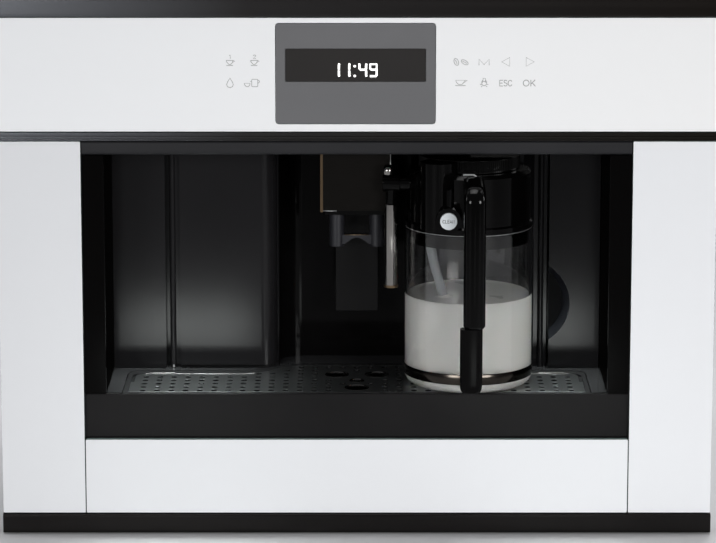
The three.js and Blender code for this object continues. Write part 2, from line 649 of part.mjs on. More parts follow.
function addLiner() {
  const z0 = zBar + SEAT;
  const z1 = zCeiling + LINER_WALL;
  const xOut = xLiner + LINER_WALL;
  const yOut = RECESS_DEPTH + LINER_WALL;
  const wall = (points) => alongZ(wallShape(points, LINER_WALL), z0, z1);
  const leftWing = wall([
    [-xLiner, yLinerFront],
    [-xLiner, WING_DEPTH],
    [-xGrooveFar, WING_DEPTH],
    [-xGrooveFar, yGroove],
    [-xGrooveNear, yGroove],
  ]);
  const r = RECESS_CORNER;
  const back = wall([
    [-RECESS_HALF, MILK_BAY_DEPTH],
    ...arcPoints(r - RECESS_HALF, RECESS_DEPTH - r, r, 180, 90, 6),
    ...arcPoints(RECESS_HALF - r, RECESS_DEPTH - r, r, 90, 0, 6),
    [RECESS_HALF, MILK_BAY_DEPTH],
    [xGrooveNear - GROOVE_DEPTH, MILK_BAY_DEPTH],
    [xGrooveNear, yGroove],
    [xGrooveFar - SLIDE, yGroove],
  ]);
  const rightSide = wall([
    [xTankSide, yOut],
    [xTankSide, WING_DEPTH],
    [xLiner, WING_DEPTH],
    [xLiner, yLinerFront],
  ]);
  const ridge = rodZ(GROOVE_X, yGroove - RIDGE_RADIUS / 2, RIDGE_RADIUS, zSill - 1, zCeiling + 1, 14);
  const floor = box(-xOut, xOut, yLinerFront, TRAY.nose + 5, z0, z0 + LINER_WALL);
  const tail = box(-xOut, xOut, TRAY.nose + 2, TRAY.nose + 5, z0, zSill - 1);
  const ledge = cut(
    box(-xOut, xOut, yLinerFront, yOut, zSill - LINER_WALL, zSill),
    alongZ(platform(TRAY, SLIDE, yLinerFront - 1), zSill - 9, zSill + 9),
  );
  const w = LINER_WALL;
  const well = (grow, top) =>
    box(-WELL_HALF - grow, WELL_HALF + grow, WELL_FRONT - grow, RECESS_DEPTH + grow, zCeiling, top);
  const ceiling = cut(
    join(
      box(-xOut, xOut, yLinerFront, yOut, zCeiling, z1),
      well(w, zCeiling + WELL_HEIGHT + w),
    ),
    well(0, zCeiling + WELL_HEIGHT),
    box(-WELL_HALF, WELL_HALF, WELL_FRONT, RECESS_DEPTH, zCeiling - 1, zCeiling + 1),
    box(...LAMP.x, LAMP.y[0] - SEAT, LAMP.y[1] + SEAT, zCeiling - 1, z1 + 1),
  );
  const strips = SIDES.map(([, side]) =>
    sideBox(
      side,
      xWindow - JOINT - STRIP_WIDTH,
      xWindow - JOINT,
      STRIP_SETBACK,
      STRIP_SETBACK + STRIP_THICKNESS,
      zSill + JOINT,
      zCeiling - JOINT,
    ),
  );
  const parts = [leftWing, back, rightSide, ridge, floor, tail, ledge, ceiling, ...strips];
  add("niche_liner", join(...parts), linerBlack);
  add("cup_light", cupLight(), tubePlastic);
}

const LAMP = { x: [-50, 50], y: [22, 34], proud: 1.5 };
function cupLight() {
  const [x0, x1] = LAMP.x;
  const [y0, y1] = LAMP.y;
  const lens = roundedRect(y0, y1, zCeiling - LAMP.proud, zCeiling + LINER_WALL + 1, 1);
  return alongX(lens, x0 + SEAT, x1 - SEAT);
}

// ---------------------------------------------------------------- drip tray
// The tray and its grid have one outline: round rear corners, and a nose in the middle.
const TRAY = { half: TRAY_HALF, rear: TRAY_REAR, nose: TRAY_NOSE, corner: TRAY_CORNER,
  shoulder: TRAY_SHOULDER, noseHalf: TRAY_NOSE_HALF };
const GRID = { ...TRAY, half: GRID_HALF, rear: GRID_REAR, nose: GRID_NOSE, corner: GRID_CORNER };

// How far back the outline reaches at a distance x from the middle.
function rearLine(p, x) {
  const t = THREE.MathUtils.clamp((p.shoulder - Math.abs(x)) / (p.shoulder - p.noseHalf), 0, 1);
  return p.rear + (p.nose - p.rear) * t * t * (3 - 2 * t);
}

function platform(p, grow, yFront) {
  const half = p.half + grow;
  const r = p.corner + grow;
  const STEPS = 8;
  const curve = Array.from({ length: STEPS + 1 }, (_, i) => {
    const x = -p.shoulder + ((p.shoulder - p.noseHalf) * i) / STEPS;
    return [x, rearLine(p, x) + grow];
  });
  const left = [
    [-half, yFront],
    ...arcPoints(r - half, p.rear + grow - r, r, 180, 90, 5),
    ...curve,
  ];
  return shapeOf([...left, ...left.map(([x, y]) => [-x, y]).reverse()]);
}

function addDripTray() {
  const y0 = BAR_SETBACK + BAR_THICKNESS + SEAT;
  const z0 = zBar + SEAT + LINER_WALL + SEAT;
  const yGrid = y0 + TRAY_WALL;
  const zSeat = zSill - GRID_THICKNESS - SEAT;
  const cavity = platform(TRAY, -TRAY_WALL, yGrid);
  const basin = cut(
    alongZ(platform(TRAY, 0, y0), z0, zSill),
    alongZ(cavity, z0 + TRAY_WALL, zSeat - TRAY_WALL),
    alongZ(platform(GRID, -GRID_MARGIN, yGrid + GRID_MARGIN), z0 + 9, zSill + 1),
    alongZ(platform(GRID, SEAT, yGrid), zSeat, zSill + 1),
  );
  add("tray_basin", basin, satinBlack);

  const bar = roundedRect(BAR_SETBACK, BAR_SETBACK + BAR_THICKNESS, zBar + JOINT, zSill, 1.2);
  const x = xWindow - JOINT;
  add("tray_bar", alongX(bar, -x, x, 3), satinBlack);

  const plate = platform(GRID, 0, yGrid + SEAT);
  plate.holes.push(...gridHoles());
  const notches = SIDES.map(([, side]) =>
    sideBox(side, GRID.half - GRID_NOTCH, GRID.half + 5, GRID_NOTCH_Y, 200, 0, 200),
  );
  const sheet = cut(alongZ(plate, zSeat + SEAT, zSill, 3), ...notches);
  add("drip_grid", sheet, steelGrid);
}

// Large drain holes under the spouts, and small holes in rows wherever the plate has room.
function gridHoles() {
  const large = [
    [-DRAIN_X, DRAIN_Y, BIG_HOLE_RADIUS],
    [DRAIN_X, DRAIN_Y, BIG_HOLE_RADIUS],
    [0, DRAIN_FRONT_Y, BIG_HOLE_RADIUS],
    [0, MIDDLE_HOLE_Y, MIDDLE_HOLE_RADIUS],
  ];
  const clearOf = HOLE_CLEAR + HOLE_RADIUS;
  const edge = HOLE_RADIUS * 2;
  const columns = Math.floor((GRID.half - GRID_NOTCH - edge) / HOLE_PITCH);
  const holes = large.map(([x, y, r]) => hole(x, y, r, 20));
  for (let i = -columns; i <= columns; i++)
    for (let y = FIRST_ROW_Y; y < rearLine(GRID, i * HOLE_PITCH) - edge; y += HOLE_PITCH) {
      const x = i * HOLE_PITCH;
      const taken = large.some(([a, b, r]) => Math.hypot(x - a, y - b) < r + clearOf);
      if (!taken) holes.push(hole(x, y, HOLE_RADIUS, 6));
    }
  return holes;
}
const hole = (x, y, r, sides) =>
  new THREE.Path(
    arcPoints(x, y, r, 0, 360 - 360 / sides, sides - 1).map(([a, b]) => new THREE.Vector2(a, b)),
  );

// ---------------------------------------------------------------- service door
const yHinge = WING_DEPTH + RIDGE_RADIUS + 0.6;
function addDoor() {
  const z0 = zSill + DOOR_GAP;
  const z1 = zCeiling - SLIDE;
  const xEdge = xGrooveNear - JOINT;
  const xBend = RECESS_HALF + DOOR_ROUNDING + 1.5;
  const outline = wallShape(
    [
      [1 - GROOVE_X, yHinge],
      [-xEdge, yHinge],
      [-xEdge, WING_DEPTH],
      ...arcPoints(-xBend, WING_DEPTH + DOOR_ROUNDING, DOOR_ROUNDING, -90, -6, 6),
    ],
    DOOR_SHEET,
  );
  const yRib = WING_DEPTH + DOOR_SHEET - 0.5;
  const ribs = [0.15, 0.5, 0.85].map((t) => {
    const z = z0 + t * (z1 - z0);
    return box(DOOR_SHEET - xEdge, -xBend, yRib, yRib + 4, z, z + 2);
  });
  const barrel = rodZ(-GROOVE_X, yHinge, RIDGE_RADIUS, z0, z1, 16);
  const bore = rodZ(-GROOVE_X, yHinge, HINGE_PIN_RADIUS + SEAT, z0 - 1, z1 + 1, 12);
  const door = cut(join(alongZ(outline, z0, z1), barrel, ...ribs), bore);
  add("service_door", door, linerBlack);
  const pin = rodZ(-GROOVE_X, yHinge, HINGE_PIN_RADIUS, zSill + SEAT, zCeiling - SEAT, 12);
  add("door_hinge_pin", pin, zincSheet);
}

// ---------------------------------------------------------------- coffee spout
function addSpout() {
  const half = GUIDE_WIDTH / 2;
  const slot = (side, gap) =>
    sideBox(side, half - GUIDE_SLOT + gap, half + 1, GUIDE_SLOT_Y + gap,
      GUIDE_SLOT_Y + GUIDE_SLOT_WIDTH - gap, 0, 500);
  const column = box(-half, half, GUIDE_FRONT, RECESS_DEPTH - SEAT, GUIDE_BOTTOM,
    zCeiling + WELL_HEIGHT - SEAT);
  add("spout_guide", cut(column, slot(-1, 0), slot(1, 0)), glossBlack);

  const w = SPOUT_WIDTH / 2;
  const yBack = SPOUT_FRONT + SPOUT_PLATE;
  const shell = roundedRect(-w, w, yBack + SEAT, GUIDE_FRONT + JAW_DEPTH, 3);
  const passage = box(-half - SEAT, half + SEAT, GUIDE_FRONT - SEAT, 200, 0, 500);
  const lips = [-1, 1].map((side) => common(slot(side, SEAT), box(-w, w, 0, 200, SPOUT_BOTTOM,
    SPOUT_TOP)));
  const body = cut(alongZ(shell, SPOUT_BOTTOM, SPOUT_TOP), passage);
  add("spout_housing", join(body, ...lips), glossBlack);

  const plate = roundedRect(-w, w, SPOUT_BOTTOM + 4, SPOUT_TOP - 1, 3);
  add("spout_plate", alongY(plate, SPOUT_FRONT, yBack), brushedDark);

  const x = NOZZLE_X + NOZZLE_RADIUS - 1;
  const d = BRIDGE_DEPTH / 2;
  const bridge = box(-x, x, NOZZLE_Y - d, NOZZLE_Y + d, BRIDGE_BOTTOM, BRIDGE_BOTTOM + BRIDGE_HEIGHT);
  const chord = NOZZLE_X - NOZZLE_RADIUS + 1;
  const archRadius = (chord ** 2 + ARCH_HEIGHT ** 2) / (2 * ARCH_HEIGHT);
  const zArch = BRIDGE_BOTTOM + ARCH_HEIGHT - archRadius;
  const arch = rodY(0, zArch, archRadius, NOZZLE_Y - d - 1, NOZZLE_Y + d + 1, 40);
  const top = SPOUT_BOTTOM - SEAT;
  const profile = [
    [0, NOZZLE_BOTTOM],
    [NOZZLE_RADIUS - 1, NOZZLE_BOTTOM],
    [NOZZLE_RADIUS, NOZZLE_BOTTOM + 1.5],
    [NOZZLE_RADIUS, top],
    [0, top],
  ];
  const nozzles = [-1, 1].map((side) => turned(profile, side * NOZZLE_X, NOZZLE_Y, 24));
  const bores = [-1, 1].map((side) =>
    rodZ(side * NOZZLE_X, NOZZLE_Y, NOZZLE_BORE, NOZZLE_BOTTOM - 1, NOZZLE_BOTTOM + 12, 12),
  );
  add("coffee_nozzles", cut(join(cut(bridge, arch), ...nozzles), ...bores), satinGrey);
}

// ---------------------------------------------------------------- water tank
function addTank() {
  const x0 = xGrooveFar + SLIDE;
  const x1 = xTankSide - SLIDE;
  const z0 = zSill + SEAT;
  const z1 = zCeiling - TANK_HEADROOM;
  const yBack = WING_DEPTH + FASCIA;
  const yShell = WING_DEPTH + GRIP_DEPTH + TANK_WALL + SEAT;
  const xCentre = x0 + GRIP_REACH - GRIP_RADIUS;
  const disc = (r, y0, y1) => rodY(xCentre, GRIP_Z, r, y0, y1, 48);
  const fascia = box(x0, x1, WING_DEPTH, yBack, z0, z1);
  const inFront = box(x0, x1, WING_DEPTH - 9, yShell, z0, z1);
  const cup = disc(GRIP_RADIUS + TANK_WALL, WING_DEPTH + 1, yShell - SEAT);
  const rim = disc(GRIP_RADIUS + GRIP_RIM, WING_DEPTH - GRIP_RIM_PROUD, WING_DEPTH + 1);
  const hollow = disc(GRIP_RADIUS, WING_DEPTH - 9, WING_DEPTH + GRIP_DEPTH);
  const front = cut(join(fascia, common(cup, inFront), common(rim, inFront)), hollow);
  add("tank_front", front, linerBlack);

  const t = TANK_WALL;
  const shell = alongZ(roundedRect(x0, x1, yShell, yShell + TANK_DEPTH, 5), z0, z1);
  const inside = alongZ(roundedRect(x0 + t, x1 - t, yShell + t, yShell + TANK_DEPTH - t, 3),
    z0 + t, z1 + 1);
  add("tank_shell", cut(shell, inside), smokedPlastic);
}

// ---------------------------------------------------------------- milk carafe
const LID_RADIUS = CARAFE_RADIUS - 1.6;
function addCarafe() {
  const z0 = zSill + SEAT;
  const r = CARAFE_RADIUS;
  const ri = r - CARAFE_WALL;
  const rf = CARAFE_FOOT_ROUNDING;
  const round = (radius, z, from, to) =>
    arcPoints(radius, z, rf, from, to, 4);
  const jug = turned(
    [
      [0, z0],
      ...round(r - rf, z0 + rf, -90, 0),
      [r, CARAFE_MOUTH_Z],
      [ri, CARAFE_MOUTH_Z],
      ...round(ri - rf, z0 + CARAFE_FLOOR + rf, 0, -90),
      [0, z0 + CARAFE_FLOOR],
    ],
    CARAFE_X,
    CARAFE_Y,
    CARAFE_SIDES,
  );
  add("carafe_glass", jug, clearGlass);

  const b0 = BAND_BOTTOM_Z;
  const b1 = b0 + BAND_HEIGHT;
  const rb = r + SEAT;
  const band = [[rb, b0], [rb + BAND_THICKNESS, b0], [rb + BAND_THICKNESS, b1], [rb, b1], [rb, b0]];
  add("carafe_band", turned(band, CARAFE_X, CARAFE_Y, CARAFE_SIDES), chrome);
  addLid(ri);
  addHandle();

  const top = new THREE.Vector3(...INTAKE_TOP, CARAFE_MOUTH_Z - LID_SKIRT - SEAT);
  const foot = new THREE.Vector3(...INTAKE_FOOT, z0 + CARAFE_FLOOR + INTAKE_RADIUS + 2);
  const way = top.clone().sub(foot);
  const up = new THREE.Vector3(0, 1, 0);
  const turn = new THREE.Quaternion().setFromUnitVectors(up, way.clone().normalize());
  const tube = (radius) =>
    new THREE.CylinderGeometry(radius, radius, way.length() + 20, 14)
      .translate(0, way.length() / 2 + 10, 0)
      .applyQuaternion(turn)
      .translate(foot.x, foot.y, foot.z);
  const above = box(0, 200, -50, 150, top.z, top.z + 50);
  const bore = tube(INTAKE_RADIUS - 1).translate(0, 0, -3);
  add("milk_intake", cut(tube(INTAKE_RADIUS), above, bore), tubePlastic);
}

function addLid(mouthRadius) {
  const z = CARAFE_MOUTH_Z;
  const zLid = z + LID_HEIGHT;
  const rs = mouthRadius - SEAT;
  const rl = LID_RADIUS;
  const body = turned(
    [
      [0, z - LID_SKIRT],
      [rs, z - LID_SKIRT],
      [rs, z + SEAT],
      [CARAFE_RADIUS, z + SEAT],
      [CARAFE_RADIUS, z + LID_RIM],
      [rl, z + LID_RIM + 1.5],
      [rl, zLid - 3],
      [rl - 3, zLid],
      [0, zLid],
    ],
    CARAFE_X,
    CARAFE_Y,
    CARAFE_SIDES,
  );
  const wallY = (x) => CARAFE_Y - Math.sqrt(rl ** 2 - (x - CARAFE_X) ** 2);
  const pillar = cut(
    rodZ(PILLAR_X, wallY(PILLAR_X) + 2, PILLAR_RADIUS, z + LID_RIM, zLid + KNOB_HEIGHT, 28),
    rodZ(CARAFE_X, CARAFE_Y, KNOB_RADIUS + SLIDE, zLid, zLid + 50, 40),
  );
  const yBoss = wallY(BUTTON_X) - BOSS_PROUD;
  const boss = rodY(BUTTON_X, BUTTON_Z, BOSS_RADIUS, yBoss, CARAFE_Y - 30, 28);
  const seat = rodY(BUTTON_X, BUTTON_Z, BUTTON_RADIUS + SEAT, yBoss - 9, yBoss + BUTTON_DEPTH, 28);
  const arm = rodX(ARM_Y, ARM_Z, ARM_RADIUS, MILK_SPOUT_X + ELBOW_RADIUS + SEAT, CARAFE_X - 30, 20);
  const spigot = rodX(ARM_Y, ARM_Z, SPIGOT_RADIUS, MILK_SPOUT_X, CARAFE_X - 30, 16);
  const socket = rodY(CARAFE_X, STEAM_Z, LID_SOCKET, CARAFE_Y + rl - LID_SOCKET_DEPTH, 200, 18);
  const centre = rodZ(CARAFE_X, CARAFE_Y, KNOB_SPIGOT + SEAT, zLid - SPIGOT_DEPTH, zLid + 9, 24);
  add("carafe_lid", cut(join(body, pillar, boss, arm, spigot), seat, socket, centre), glossBlack);

  const y0 = yBoss - BUTTON_PROUD;
  const y1 = yBoss + BUTTON_DEPTH - BUTTON_TRAVEL - SEAT;
  add("clean_button", rodY(BUTTON_X, BUTTON_Z, BUTTON_RADIUS, y0, y1, 28), chrome);

  const knob = new THREE.Shape();
  for (let i = 0; i < 2 * KNOB_RIBS; i++) {
    const a = (Math.PI * i) / KNOB_RIBS;
    const radius = KNOB_RADIUS - (i % 2) * KNOB_RIB_DEPTH;
    const point = [CARAFE_X + radius * Math.cos(a), CARAFE_Y + radius * Math.sin(a)];
    if (i) knob.lineTo(...point);
    else knob.moveTo(...point);
  }
  const zKnob = zLid + SEAT;
  const spindle = rodZ(CARAFE_X, CARAFE_Y, KNOB_SPIGOT, zKnob - SPIGOT_DEPTH + 1, zKnob + 1, 24);
  add("froth_knob", join(alongZ(knob, zKnob, zKnob + KNOB_HEIGHT), spindle), glossBlack);

  const e = ELBOW_RADIUS;
  const elbow = cut(
    join(
      rodX(ARM_Y, ARM_Z, e, MILK_SPOUT_X - e, MILK_SPOUT_X + e, 24),
      rodZ(MILK_SPOUT_X, ARM_Y, NECK_RADIUS, MILK_SPOUT_TOP + SEAT, ARM_Z, 20),
      rodZ(MILK_SPOUT_X, ARM_Y, TUBE_BORE - SEAT, MILK_SPOUT_TOP - NECK_DEPTH, ARM_Z, 14),
    ),
    rodX(ARM_Y, ARM_Z, SPIGOT_RADIUS + SEAT, MILK_SPOUT_X - SEAT, MILK_SPOUT_X + 20, 16),
  );
  add("milk_elbow", elbow, glossBlack);
  const pipe = [
    [TUBE_BORE, MILK_SPOUT_BOTTOM],
    [MILK_SPOUT_RADIUS - 0.6, MILK_SPOUT_BOTTOM],
    [MILK_SPOUT_RADIUS, MILK_SPOUT_BOTTOM + 1.5],
    [MILK_SPOUT_RADIUS, MILK_SPOUT_TOP],
    [TUBE_BORE, MILK_SPOUT_TOP],
    [TUBE_BORE, MILK_SPOUT_BOTTOM],
  ];
  add("milk_tube", turned(pipe, MILK_SPOUT_X, ARM_Y, 24), chrome);
}

function addHandle() {
  const zTopArm = CARAFE_MOUTH_Z + LID_HEIGHT - 4;
  const yFace = -HANDLE_REACH;
  const yBack = yFace + HANDLE_THICKNESS;
  const arm = 24;
  const r = 14;
  const side = new THREE.Shape();
  side.moveTo(CARAFE_Y - 40, zTopArm);
  side.lineTo(yFace + r, zTopArm);
  side.quadraticCurveTo(yFace, zTopArm, yFace, zTopArm - r);
  side.lineTo(yFace, HANDLE_JOINT_Z);
  side.lineTo(yBack, HANDLE_JOINT_Z);
  side.lineTo(yBack, zTopArm - arm - 6);
  side.quadraticCurveTo(yBack, zTopArm - arm, yBack + 6, zTopArm - arm);
  side.lineTo(CARAFE_Y - 40, zTopArm - arm);
  const w = HANDLE_WIDTH / 2;
  const outer = common(
    alongX(side, CARAFE_X - w, CARAFE_X + w, 4),
    alongZ(roundedRect(CARAFE_X - w, CARAFE_X + w, yFace, 50, 3.5), 0, 400, 3),
  );
  const lid = rodZ(CARAFE_X, CARAFE_Y, LID_RADIUS + SEAT, 0, 400, 80);
  add("handle_sleeve", cut(outer, lid), satinBlack);

  const g = w - 1;
  const z1 = HANDLE_JOINT_Z - SEAT;
  const grip = new THREE.Shape();
  grip.moveTo(yFace + 1, z1);
  grip.lineTo(yFace + 1, HANDLE_BOTTOM_Z + 10);
  grip.quadraticCurveTo(yFace + 1, HANDLE_BOTTOM_Z, yFace + 5, HANDLE_BOTTOM_Z);
  grip.lineTo(yBack - 5, HANDLE_BOTTOM_Z);
  grip.quadraticCurveTo(yBack - 1, HANDLE_BOTTOM_Z, yBack - 1, HANDLE_BOTTOM_Z + 10);
  grip.lineTo(yBack - 1, z1);
  const taper = new THREE.Shape();
  taper.moveTo(CARAFE_X - g, z1);
  taper.lineTo(CARAFE_X - g, HANDLE_BOTTOM_Z + 8);
  taper.lineTo(CARAFE_X - g + 2.5, HANDLE_BOTTOM_Z);
  taper.lineTo(CARAFE_X + g - 2.5, HANDLE_BOTTOM_Z);
  taper.lineTo(CARAFE_X + g, HANDLE_BOTTOM_Z + 8);
  taper.lineTo(CARAFE_X + g, z1);
  const lower = common(
    alongX(grip, CARAFE_X - g, CARAFE_X + g, 4),
    alongY(taper, yFace - 5, yBack + 5),
  );
  add("handle_grip", lower, glossBlack);
}

// The nozzle in the niche's back wall that blows steam through the carafe's lid.
function addSteamNozzle() {
  const yWall = MILK_BAY_DEPTH - SEAT;
  const yTip = CARAFE_Y + LID_RADIUS - STEAM_REACH;
  const tip = rodY(CARAFE_X, STEAM_Z, STEAM_RADIUS, yTip, yWall, 18);
  const flange = rodY(CARAFE_X, STEAM_Z, STEAM_FLANGE, yWall - 3, yWall, 28);
  add("steam_nozzle", join(tip, flange), chrome);
}

// ---------------------------------------------------------------- works inside the casing
const frustum = (x, y, halfBottom, halfTop, z0, z1) =>
  new THREE.CylinderGeometry(halfTop * Math.SQRT2, halfBottom * Math.SQRT2, z1 - z0, 4, 1, false,
    Math.PI / 4)
    .rotateX(Math.PI / 2)
    .translate(x, y, (z0 + z1) / 2);

function addWorks() {
  const { x, y, width, wall, throat } = HOPPER;
  const top = BODY_TOP - SHEET - SEAT;
  const h = width / 2;
  const zNeck = HOPPER_BOTTOM + HOPPER_CONE;
  const bin = cut(
    join(
      frustum(x, y, throat, h, HOPPER_BOTTOM, zNeck),
      box(x - h, x + h, y - h, y + h, zNeck - wall, top),
    ),
    frustum(x, y, throat - wall, h - wall, HOPPER_BOTTOM + wall, zNeck),
    box(x - h + wall, x + h - wall, y - h + wall, y + h - wall, zNeck - 0.01, top + 1),
    rodZ(x, y, throat - 2 * wall, HOPPER_BOTTOM - 1, HOPPER_BOTTOM + 9, 20),
  );
  add("bean_hopper", bin, smokedPlastic);

  const zCollar = HOPPER_BOTTOM - SEAT;
  const r = GRINDER_RADIUS;
  const grinder = turned(
    [
      [0, zSill + SEAT],
      [r, zSill + SEAT],
      [r, zCollar - 106],
      [r - 8, zCollar - 100],
      [r - 8, zCollar - 24],
      [throat, zCollar - 14],
      [throat, zCollar],
      [0, zCollar],
    ],
    x,
    y,
    28,
  );
  add("grinder", grinder, greyPlastic);

  const b = BREW_UNIT;
  const x0 = b.x - b.width / 2;
  const x1 = b.x + b.width / 2;
  const yBack = b.y + b.depth / 2;
  const yFront = b.y - b.depth / 2;
  const column = box(x0, x1, yBack - 36, yBack, zSill + SEAT, b.top);
  const head = box(x0, x1, yFront, yBack, b.bottom, b.top);
  const chamber = rodZ(b.x, yFront + 34, 22, b.bottom - 4, b.bottom + 60, 24);
  const drive = rodX(yBack - 18, b.bottom - 30, 12, x0 - 6, x1 + 6, 20);
  add("brew_unit", join(column, head, chamber, drive), greyPlastic);

  const g = GROUNDS;
  const t = 2;
  const bin0 = [g.x - g.width / 2, g.x + g.width / 2, g.y - g.depth / 2, g.y + g.depth / 2];
  const zBin = zSill + SEAT;
  const outer = alongZ(roundedRect(...bin0, 5), zBin, zBin + g.height);
  const inner = roundedRect(bin0[0] + t, bin0[1] - t, bin0[2] + t, bin0[3] - t, 3);
  add("grounds_container", cut(outer, alongZ(inner, zBin + t, zBin + g.height + 1)), greyPlastic);

  const zFloor = BODY_BOTTOM + SHEET + SEAT;
  add("boiler", machineBlock(BOILER, zFloor), steelGrid);
  add("water_pump", machineBlock(PUMP, zFloor), greyPlastic);
}

// A cylinder that lies along Y between two flanges, on a foot.
function machineBlock({ x, y, radius, length }, zFloor) {
  const FOOT_RISE = 4;
  const z = zFloor + FOOT_RISE + radius;
  const y0 = y - length / 2;
  const y1 = y + length / 2;
  return join(
    rodY(x, z, radius - 3, y0, y1, 24),
    rodY(x, z, radius, y0 + 6, y0 + 14, 24),
    rodY(x, z, radius, y1 - 14, y1 - 6, 24),
    box(x - radius * 0.7, x + radius * 0.7, y0 + 6, y1 - 6, zFloor, z - radius * 0.6),
  );
}

// ---------------------------------------------------------------- on top and at the rear
function addTopAndRear() {
  const reach = HOPPER.width / 2 + LID_OVERLAP;
  const zLid = BODY_TOP + SEAT;
  const plug = HOPPER.width / 2 - HOPPER.wall - LID_LIFT;
  const cover = join(
    box(HOPPER.x - reach, HOPPER.x + reach, HOPPER.y - reach, yBeanHinge - HINGE_RADIUS - SEAT,
      zLid, zLid + LID_SHEET),
    box(HOPPER.x - BEAN_HINGE_HALF, HOPPER.x + BEAN_HINGE_HALF, HOPPER.y, yBeanHinge - 1,
      zLid, zLid + LID_SHEET),
    box(HOPPER.x - plug, HOPPER.x + plug, HOPPER.y - plug, HOPPER.y + plug - 4, zLid - 4, zLid + 1),
    rodX(yBeanHinge, zBeanHinge, HINGE_RADIUS - SEAT, HOPPER.x - BEAN_HINGE_HALF,
      HOPPER.x + BEAN_HINGE_HALF, 16),
  );
  add("bean_lid", cover, smokedPlastic);

  const k = GRIND_KNOB;
  const turnedKnob = turned(
    [[0, zLid], [k.radius, zLid], [k.radius, zLid + k.height - 2], [k.radius - 2, zLid + k.height],
      [0, zLid + k.height]], k.x, k.y, 20);
  const grip = box(k.x - 2, k.x + 2, k.y - k.radius + 2, k.y + k.radius - 2, zLid + k.height - 1,
    zLid + k.height + 3);
  const spindle = rodZ(k.x, k.y, KNOB_SPINDLE, zLid - 20, zLid + 1, 16);
  add("grind_knob", join(turnedKnob, grip, spindle), greyPlastic);

  const flange = 3;
  const yFlange = yRear + SEAT;
  const shell = box(INLET.x - INLET.width / 2, INLET.x + INLET.width / 2, yRear - 22, yFlange + 1,
    INLET.z - INLET.height / 2, INLET.z + INLET.height / 2);
  const rim = box(INLET.x - INLET.width / 2 - flange, INLET.x + INLET.width / 2 + flange, yFlange,
    yFlange + 2, INLET.z - INLET.height / 2 - flange, INLET.z + INLET.height / 2 + flange);
  const hollow = box(INLET.x - INLET.width / 2 + 2, INLET.x + INLET.width / 2 - 2, yRear - 18,
    yRear + 9, INLET.z - INLET.height / 2 + 2, INLET.z + INLET.height / 2 - 2);
  const pins = [-7, 0, 7].map((dx, i) =>
    box(INLET.x + dx - 1, INLET.x + dx + 1, yRear - 19, yRear - 4, INLET.z - 2 + (i % 2) * 3,
      INLET.z + 2 + (i % 2) * 3));
  add("mains_inlet", join(cut(join(shell, rim), hollow), ...pins), satinBlack);

  // The rocker's upper half is pressed in and its lower half stands out.
  const s = SWITCH;
  const rocker = shapeOf([
    [yRear - SWITCH_DEPTH, s.z - s.height / 2],
    [yRear + SWITCH_PROUD, s.z - s.height / 2],
    [yRear, s.z],
    [yRear, s.z + s.height / 2],
    [yRear - SWITCH_DEPTH, s.z + s.height / 2],
  ]);
  add("main_switch", alongX(rocker, s.x - s.width / 2, s.x + s.width / 2), satinBlack);
}

addRails();
addCasing();
addDeck();
addFrontFrame();
addFront();
addLiner();
addDripTray();
addDoor();
addSpout();
addTank();
addCarafe();
addSteamNozzle();
addWorks();
addTopAndRear();

// The origin lies under the middle of the machine, between the handle and the rear brace.
machine.position.y = (HANDLE_REACH - (yRear + BRACKET_OVERRUN)) / 2;

export default machine;
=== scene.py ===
"""Looks of the built-in coffee machine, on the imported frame.

Lengths are in millimetres, but those of materials, lamps and the camera are in metres. x is measured
from the machine's middle, y from the face of the front glass and z from the floor of the furniture
niche. at() turns such a point into the frame's metres.
"""

import json
import math

import bmesh
import bpy
from mathutils import Matrix, Vector


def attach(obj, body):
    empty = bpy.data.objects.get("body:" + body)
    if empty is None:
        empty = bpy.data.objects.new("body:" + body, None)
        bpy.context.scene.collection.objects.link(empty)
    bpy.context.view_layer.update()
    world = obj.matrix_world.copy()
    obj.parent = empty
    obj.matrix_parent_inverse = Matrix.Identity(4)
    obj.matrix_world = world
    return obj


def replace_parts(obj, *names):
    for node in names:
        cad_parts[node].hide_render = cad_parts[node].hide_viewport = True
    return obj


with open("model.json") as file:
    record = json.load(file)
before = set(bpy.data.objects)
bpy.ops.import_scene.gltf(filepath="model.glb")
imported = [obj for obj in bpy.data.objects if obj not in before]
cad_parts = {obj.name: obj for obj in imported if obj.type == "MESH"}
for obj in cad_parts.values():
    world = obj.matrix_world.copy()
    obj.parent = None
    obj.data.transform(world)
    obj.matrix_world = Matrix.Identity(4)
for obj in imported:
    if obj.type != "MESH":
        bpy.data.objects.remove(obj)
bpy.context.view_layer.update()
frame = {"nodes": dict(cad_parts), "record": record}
NODES = frame["nodes"]

GLASS_Y = -176.15  # the front glass in the frame
FRONT_WIDTH = 595.0
SILL = 120.0  # top of the drip grid
CEILING = 323.0
RECESS_HALF = 68.0  # half the width of the polished recess behind the spout
STRIPS_FROM = 209.5  # the niche's side strips begin this far from the middle
CONTROL_FROM = 340.0  # the control panel is above this height
LOW_TRIM_TO = 100.0  # the lower trim is below this height
CARAFE = (94.5, 52.5)
MILK_LEVEL = 196.0
CORNER = math.radians(35)  # edges sharper than this are shaded as corners
ALONG_AXIS = 0.7  # a normal's share along an axis, from which the face counts as facing it
GRAIN_SCALE, GRAIN_DEPTH = 900.0, 0.0002  # of the fine relief on plastic and paint


def at(x, y, z):
    return Vector((x, y + GLASS_Y, z)) / 1000


